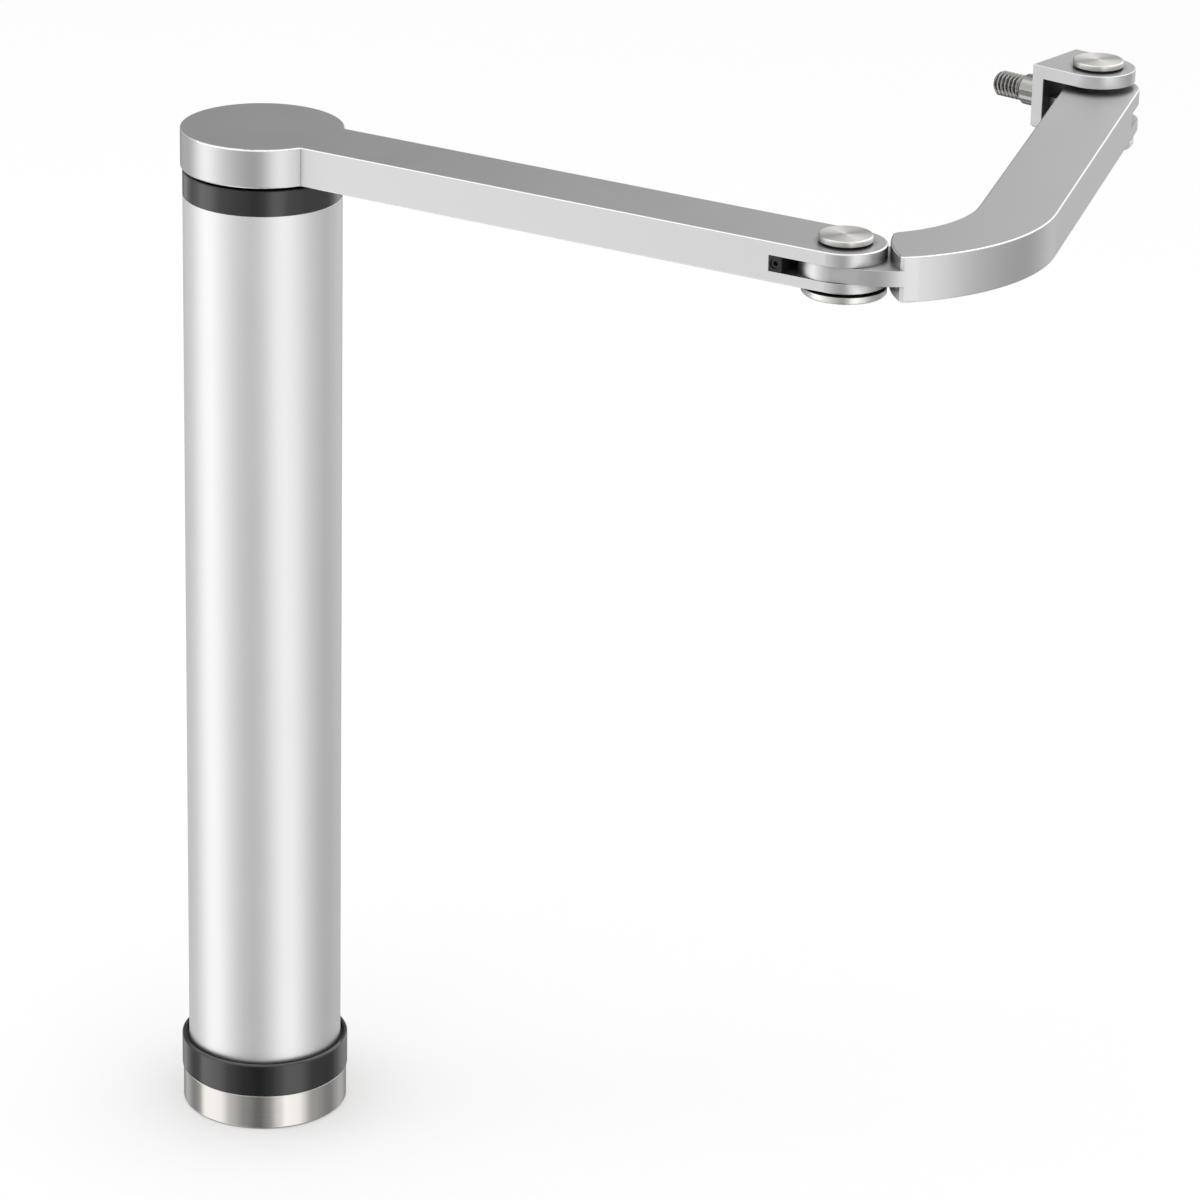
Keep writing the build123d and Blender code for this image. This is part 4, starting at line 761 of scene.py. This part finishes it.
@dataclass
class ThreadedStud:
    """The stud to the gate, with a cut thread, a plain collar and its tail in the back plate.

    Attributes:
        pitch: the thread's pitch.
        thread_depth: how deep the thread is cut.
        flank_slope: how steeply the flanks rise, as a share of the depth per half pitch.
        root_flat: how far the flanks' start is sunk, which leaves the root flat.
        tip_chamfer: the chamfer at the tip.
        collar_radius: the plain collar's radius.
        collar_length: its length.
        collar_edge: the chamfer on its edges.
        tail_radius: the radius of the tail in the back plate.
        tail_length: the tail's length.
        steps_round: points round the stud.
        steps_per_pitch: rings of points in a pitch.
        sharpest_smooth: the greatest angle between two faces that is shaded smooth.
        steel: the stud's finish.
    """

    pitch: float = 1.75 * MILLIMETRE
    thread_depth: float = 0.95 * MILLIMETRE
    flank_slope: float = 2.7
    root_flat: float = 0.10
    tip_chamfer: float = 1.4 * MILLIMETRE
    collar_radius: float = 6.0 * MILLIMETRE
    collar_length: float = 12.5 * MILLIMETRE
    collar_edge: float = 0.5 * MILLIMETRE
    tail_radius: float = 4.0 * MILLIMETRE
    tail_length: float = 3.0 * MILLIMETRE
    steps_round: int = 64
    steps_per_pitch: int = 10
    sharpest_smooth: float = 32.0
    # Painted shade darkens the thread's roots; its edges are painted a little brighter.
    steel: Finish = Finish(
        "turned_stud_steel", (0.40, 0.39, 0.375), roughness=0.14, grain_size=0.0002, grain_depth=0.000004,
        roughness_swing=0.08, colour_swing=0.06, edge_radius=0.00015, edge_wear_and_highlight=0.2,
        painted_corner_shade=1.0, corner_reach=0.002,
    )

    def thread_radius(self, along: float, angle: float, mount_radius: float, length: float) -> float:
        """Returns the thread's radius at a place.

        Args:
            along: distance from the collar.
            angle: angle round the axis, in radians.
            mount_radius: the thread's outer radius.
            length: the whole thread's length.

        Returns:
            The radius there.
        """
        turn = (along / self.pitch - angle / math.tau) % 1.0
        flank = min(1.0, max(0.0, abs(turn - 0.5) * self.flank_slope - self.root_flat))
        runout = min(1.0, along / self.pitch)
        radius = mount_radius - self.thread_depth * (1.0 - flank) * runout
        return min(radius, mount_radius - self.tip_chamfer + (length - along))

    def profile(self, outer: float, length: float) -> list[tuple[float, RadiusAt]]:
        """Returns the stud's outline from the tail to the tip.

        Args:
            outer: the thread's outer radius.
            length: the whole thread's length.

        Returns:
            For each ring, its distance from the collar and its radius at an angle.
        """
        tail_end = -self.collar_length - self.tail_length
        steps = [
            (tail_end, 0.0),
            (tail_end, self.tail_radius),
            (-self.collar_length, self.tail_radius),
            (-self.collar_length, self.collar_radius - self.collar_edge),
            (-self.collar_length + self.collar_edge, self.collar_radius),
            (-self.collar_edge, self.collar_radius),
            (0.0, self.collar_radius - self.collar_edge),
        ]
        rings: list[tuple[float, RadiusAt]] = [(along, lambda angle, r=radius: r) for along, radius in steps]
        stations = round(length / self.pitch * self.steps_per_pitch)
        for station in range(stations + 1):
            along = length * station / stations
            rings.append((along, lambda angle, a=along: self.thread_radius(a, angle, outer, length)))
        rings.append((length, lambda angle: 0.0))
        return rings

    def ring(self, along: float, radius_at: RadiusAt) -> list[Vector]:
        """Returns the points of one ring.

        Args:
            along: the ring's distance from the collar.
            radius_at: its radius at an angle.

        Returns:
            The points, with the stud's axis as Z.
        """
        angles = [math.tau * step / self.steps_round for step in range(self.steps_round)]
        return [
            Vector((radius_at(angle) * math.cos(angle), radius_at(angle) * math.sin(angle), along))
            for angle in angles
        ]

    def build(self, mount: dict, workshop: Workshop) -> bpy.types.Object:
        """Builds the stud along the frame's stud mount.

        Args:
            mount: the record's mount of the stud.
            workshop: makes the finish.

        Returns:
            The stud's object.
        """
        outer = mount["dims"]["r_mm"] * MILLIMETRE
        straight = mount["dims"]["length_mm"] * MILLIMETRE
        length = straight + self.tip_chamfer
        way = Vector(mount["axis"]).normalized()
        start = Vector(mount["pos_m"]) - way * straight / 2
        side = Vector((0.0, 0.0, 1.0))
        turn = Matrix((side.cross(way), side, way)).transposed()
        shape = bmesh.new()
        loops = [
            [shape.verts.new(start + turn @ point) for point in self.ring(along, radius_at)]
            for along, radius_at in self.profile(outer, length)
        ]
        for lower, upper in zip(loops, loops[1:]):
            for step in range(self.steps_round):
                following = (step + 1) % self.steps_round
                shape.faces.new((lower[step], lower[following], upper[following], upper[step]))
        bmesh.ops.remove_doubles(shape, verts=shape.verts, dist=WELD_DISTANCE)
        bmesh.ops.recalc_face_normals(shape, faces=shape.faces)
        mesh = bpy.data.meshes.new("gate_stud_turned")
        shape.to_mesh(mesh)
        shape.free()
        mesh.shade_smooth()
        mesh.set_sharp_from_angle(angle=math.radians(self.sharpest_smooth))
        stud = bpy.data.objects.new("gate_stud_turned", mesh)
        bpy.context.scene.collection.objects.link(stud)
        mesh.materials.append(workshop.material(self.steel))
        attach(stud, "gate_bracket")
        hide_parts("gate_stud")
        LOG.info("gate_stud_turned: %d faces", len(mesh.polygons))
        return stud


@dataclass(frozen=True)
class SoftBox:
    """One soft box.

    Attributes:
        name: the lamp's name.
        offset: where it hangs, from the middle of the object.
        width: its width.
        height: its height.
        power: its power in watts.
    """

    name: str
    offset: tuple[float, float, float]
    width: float
    height: float
    power: float


@dataclass
class Studio:
    """Floor, world, lamps and the camera at the photograph's angle.

    Attributes:
        camera_place: where the camera stands.
        camera_bearing: the bearing that it looks along.
        camera_pitch: how far it looks down.
        camera_roll: how far it is rolled.
        focal_pixels: the focal length in pixels of the photograph.
        image_pixels: the photograph's width in pixels.
        sensor_width: the width of the camera's sensor in millimetres.
        farthest: how far the camera sees.
        world_level: the world's plain level.
        brightest: the level that a full ramp stands for.
        floor_fade: from which to which height the floor bands fade into the low bands.
        horizon_fade: the same for the low and the high bands.
        overhead_fade: the same for the ring overhead, which is added to them.
        overhead_level: the level of that ring.
        zenith_fade: the same for the plain patch straight above.
        zenith_level: the level of that patch.
        floor_half: half the floor's width.
        floor_colour: the floor's grey.
        boxes: the soft boxes.
    """

    camera_place: tuple[float, float, float] = (1.0925, -1.6113, 0.9860)
    camera_bearing: float = 120.32
    camera_pitch: float = 21.65
    camera_roll: float = 1.25
    focal_pixels: float = 5422.0
    image_pixels: float = 1200.0
    sensor_width: float = 36.0
    farthest: float = 50.0
    world_level: float = 1.0
    brightest: float = 4.0
    floor_fade: tuple[float, float] = (-0.44, -0.30)
    horizon_fade: tuple[float, float] = (0.02, 0.22)
    overhead_fade: tuple[float, float] = (0.62, 0.80)
    overhead_level: float = 0.45
    zenith_fade: tuple[float, float] = (0.84, 0.94)
    zenith_level: float = 1.0
    floor_half: float = 12.0
    floor_colour: float = 0.96
    boxes: tuple[SoftBox, ...] = (
        SoftBox("overhead_box", (0.2, -0.3, 1.6), 1.6, 1.6, 2.5),
        SoftBox("left_box", (-1.3, -0.9, 0.5), 0.8, 1.2, 1.5),
    )

    def place_camera(self) -> None:
        """Adds the camera and makes it the scene's own."""
        bearing = math.radians(self.camera_bearing)
        pitch = math.radians(self.camera_pitch)
        roll = math.radians(self.camera_roll)
        ahead = Vector(
            (math.cos(bearing) * math.cos(pitch), math.sin(bearing) * math.cos(pitch), -math.sin(pitch))
        )
        right = Vector((math.sin(bearing), -math.cos(bearing), 0.0))
        up = right.cross(ahead)
        rolled_right = math.cos(roll) * right + math.sin(roll) * up
        rolled_up = -math.sin(roll) * right + math.cos(roll) * up
        data = bpy.data.cameras.new("studio_camera")
        data.sensor_width = self.sensor_width
        data.lens = self.focal_pixels / self.image_pixels * self.sensor_width
        data.clip_end = self.farthest
        camera = bpy.data.objects.new("studio_camera", data)
        turn = Matrix((rolled_right, rolled_up, -ahead)).transposed()
        camera.matrix_world = Matrix.Translation(self.camera_place) @ turn.to_4x4()
        bpy.context.scene.collection.objects.link(camera)
        bpy.context.scene.camera = camera

    def band_levels(
        self, nodes: NodeTree, share: bpy.types.NodeSocket, bands: type[Enum]
    ) -> bpy.types.NodeSocket:
        """Adds the levels of one ring of bands.

        Args:
            nodes: the world's nodes.
            share: the bearing from the camera, from 0 at the back left to 1 at the back right.
            bands: the bands, in the order of their bearings.

        Returns:
            The level at that bearing.
        """
        ramp = nodes.add("ShaderNodeValToRGB", {"Fac": share})
        ramp.color_ramp.interpolation = "EASE"
        stops = ramp.color_ramp.elements
        while len(stops) > 1:
            stops.remove(stops[-1])
        for number, band in enumerate(bands):
            bearing, level = band.value
            place = bearing / 360.0 + 0.5
            stop = stops[0] if number == 0 else stops.new(place)
            stop.position = place
            grey = level / self.brightest
            stop.color = (grey, grey, grey, 1.0)
        return nodes.math("MULTIPLY", ramp.outputs["Color"], self.brightest)

    def paint_world(self) -> None:
        """Gives the world its white background and its bands of soft light."""
        world = bpy.data.worlds.new("studio_world")
        world.use_nodes = True
        bpy.context.scene.world = world
        nodes = NodeTree(world.node_tree)
        direction = nodes.add("ShaderNodeTexCoord").outputs["Generated"]
        way = nodes.add("ShaderNodeSeparateXYZ", {"Vector": direction})
        bearing = nodes.math("ARCTAN2", way.outputs["Y"], way.outputs["X"])
        ahead = math.atan2(self.camera_place[1], self.camera_place[0])
        turned = nodes.math("DIVIDE", nodes.math("SUBTRACT", bearing, ahead), math.tau)
        share = nodes.math("FRACT", nodes.math("ADD", turned, 1.5))
        level = self.band_levels(nodes, share, FloorBand)
        for bands, fade in ((LowBand, self.floor_fade), (HighBand, self.horizon_fade)):
            risen = nodes.ramp(way.outputs["Z"], *fade, interpolation_type="SMOOTHSTEP")
            level = nodes.blend(risen, level, self.band_levels(nodes, share, bands))
        overhead = nodes.ramp(way.outputs["Z"], *self.overhead_fade, interpolation_type="SMOOTHSTEP")
        ringed = nodes.math("MULTIPLY_ADD", overhead, self.overhead_level, level)
        zenith = nodes.ramp(way.outputs["Z"], *self.zenith_fade, interpolation_type="SMOOTHSTEP")
        banded = nodes.blend(zenith, ringed, self.zenith_level)
        rays = nodes.add("ShaderNodeLightPath")
        lit = nodes.blend(rays.outputs["Is Glossy Ray"], self.world_level, banded)
        seen = nodes.math("MAXIMUM", rays.outputs["Is Camera Ray"], rays.outputs["Is Transmission Ray"])
        shown = nodes.blend(seen, lit, 1.0)
        sky = nodes.add("ShaderNodeBackground", {"Color": (1.0, 1.0, 1.0, 1.0), "Strength": shown})
        nodes.add("ShaderNodeOutputWorld", {"Surface": sky.outputs["Background"]})

    def lay_floor(self) -> None:
        """Adds the pale floor, which keeps the object's shadow."""
        half = self.floor_half
        corners = [(-half, -half, 0), (half, -half, 0), (half, half, 0), (-half, half, 0)]
        mesh = bpy.data.meshes.new("studio_floor")
        mesh.from_pydata(corners, [], [(0, 1, 2, 3)])
        floor = bpy.data.objects.new("studio_floor", mesh)
        bpy.context.scene.collection.objects.link(floor)
        material = bpy.data.materials.new("pale_floor")
        material.use_nodes = True
        nodes = NodeTree(material.node_tree)
        grey = self.floor_colour
        cloth = nodes.add("ShaderNodeBsdfDiffuse", {"Color": (grey, grey, grey, 1.0)})
        glow = nodes.add("ShaderNodeEmission", {"Color": (1.0, 1.0, 1.0, 1.0), "Strength": 1.0})
        rays = nodes.add("ShaderNodeLightPath")
        through = rays.outputs["Is Transmission Ray"]
        mixed = nodes.add("ShaderNodeMixShader", {0: through, 1: cloth.outputs[0], 2: glow.outputs[0]})
        nodes.add("ShaderNodeOutputMaterial", {"Surface": mixed.outputs[0]})
        mesh.materials.append(material)
        floor.visible_glossy = False
        floor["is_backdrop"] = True

    def hang_lamp(self, box: SoftBox, middle: Vector) -> None:
        """Hangs one soft box.

        Args:
            box: the soft box.
            middle: the middle of the object, which it faces.
        """
        data = bpy.data.lights.new(box.name, "AREA")
        data.shape = "RECTANGLE"
        data.size = box.width
        data.size_y = box.height
        data.energy = box.power
        offset = Vector(box.offset)
        turn = (-offset).to_track_quat("-Z", "Y").to_matrix().to_4x4()
        lamp = bpy.data.objects.new(box.name, data)
        lamp.matrix_world = Matrix.Translation(middle + offset) @ turn
        lamp.visible_glossy = False
        bpy.context.scene.collection.objects.link(lamp)

    def build(self) -> None:
        """Sets up the whole studio."""
        self.place_camera()
        self.paint_world()
        self.lay_floor()
        low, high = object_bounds()
        for box in self.boxes:
            self.hang_lamp(box, (Vector(low) + Vector(high)) / 2)
        LOG.info("studio: camera, world, floor and lamps")


def main() -> None:
    """Builds the looks in order."""
    logging.basicConfig(level=logging.INFO, format="%(name)s: %(message)s")
    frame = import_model()
    bpy.context.scene.view_settings.view_transform = "Standard"
    workshop = Workshop(frame["nodes"])
    DriveUnit().dress(workshop)
    ArmSet().dress(workshop)
    mounts = {mount["name"]: mount for mount in frame["record"]["mounts"]}
    ThreadedStud().build(mounts["gate_stud"], workshop)
    Studio().build()


if __name__ == "__main__":
    main()
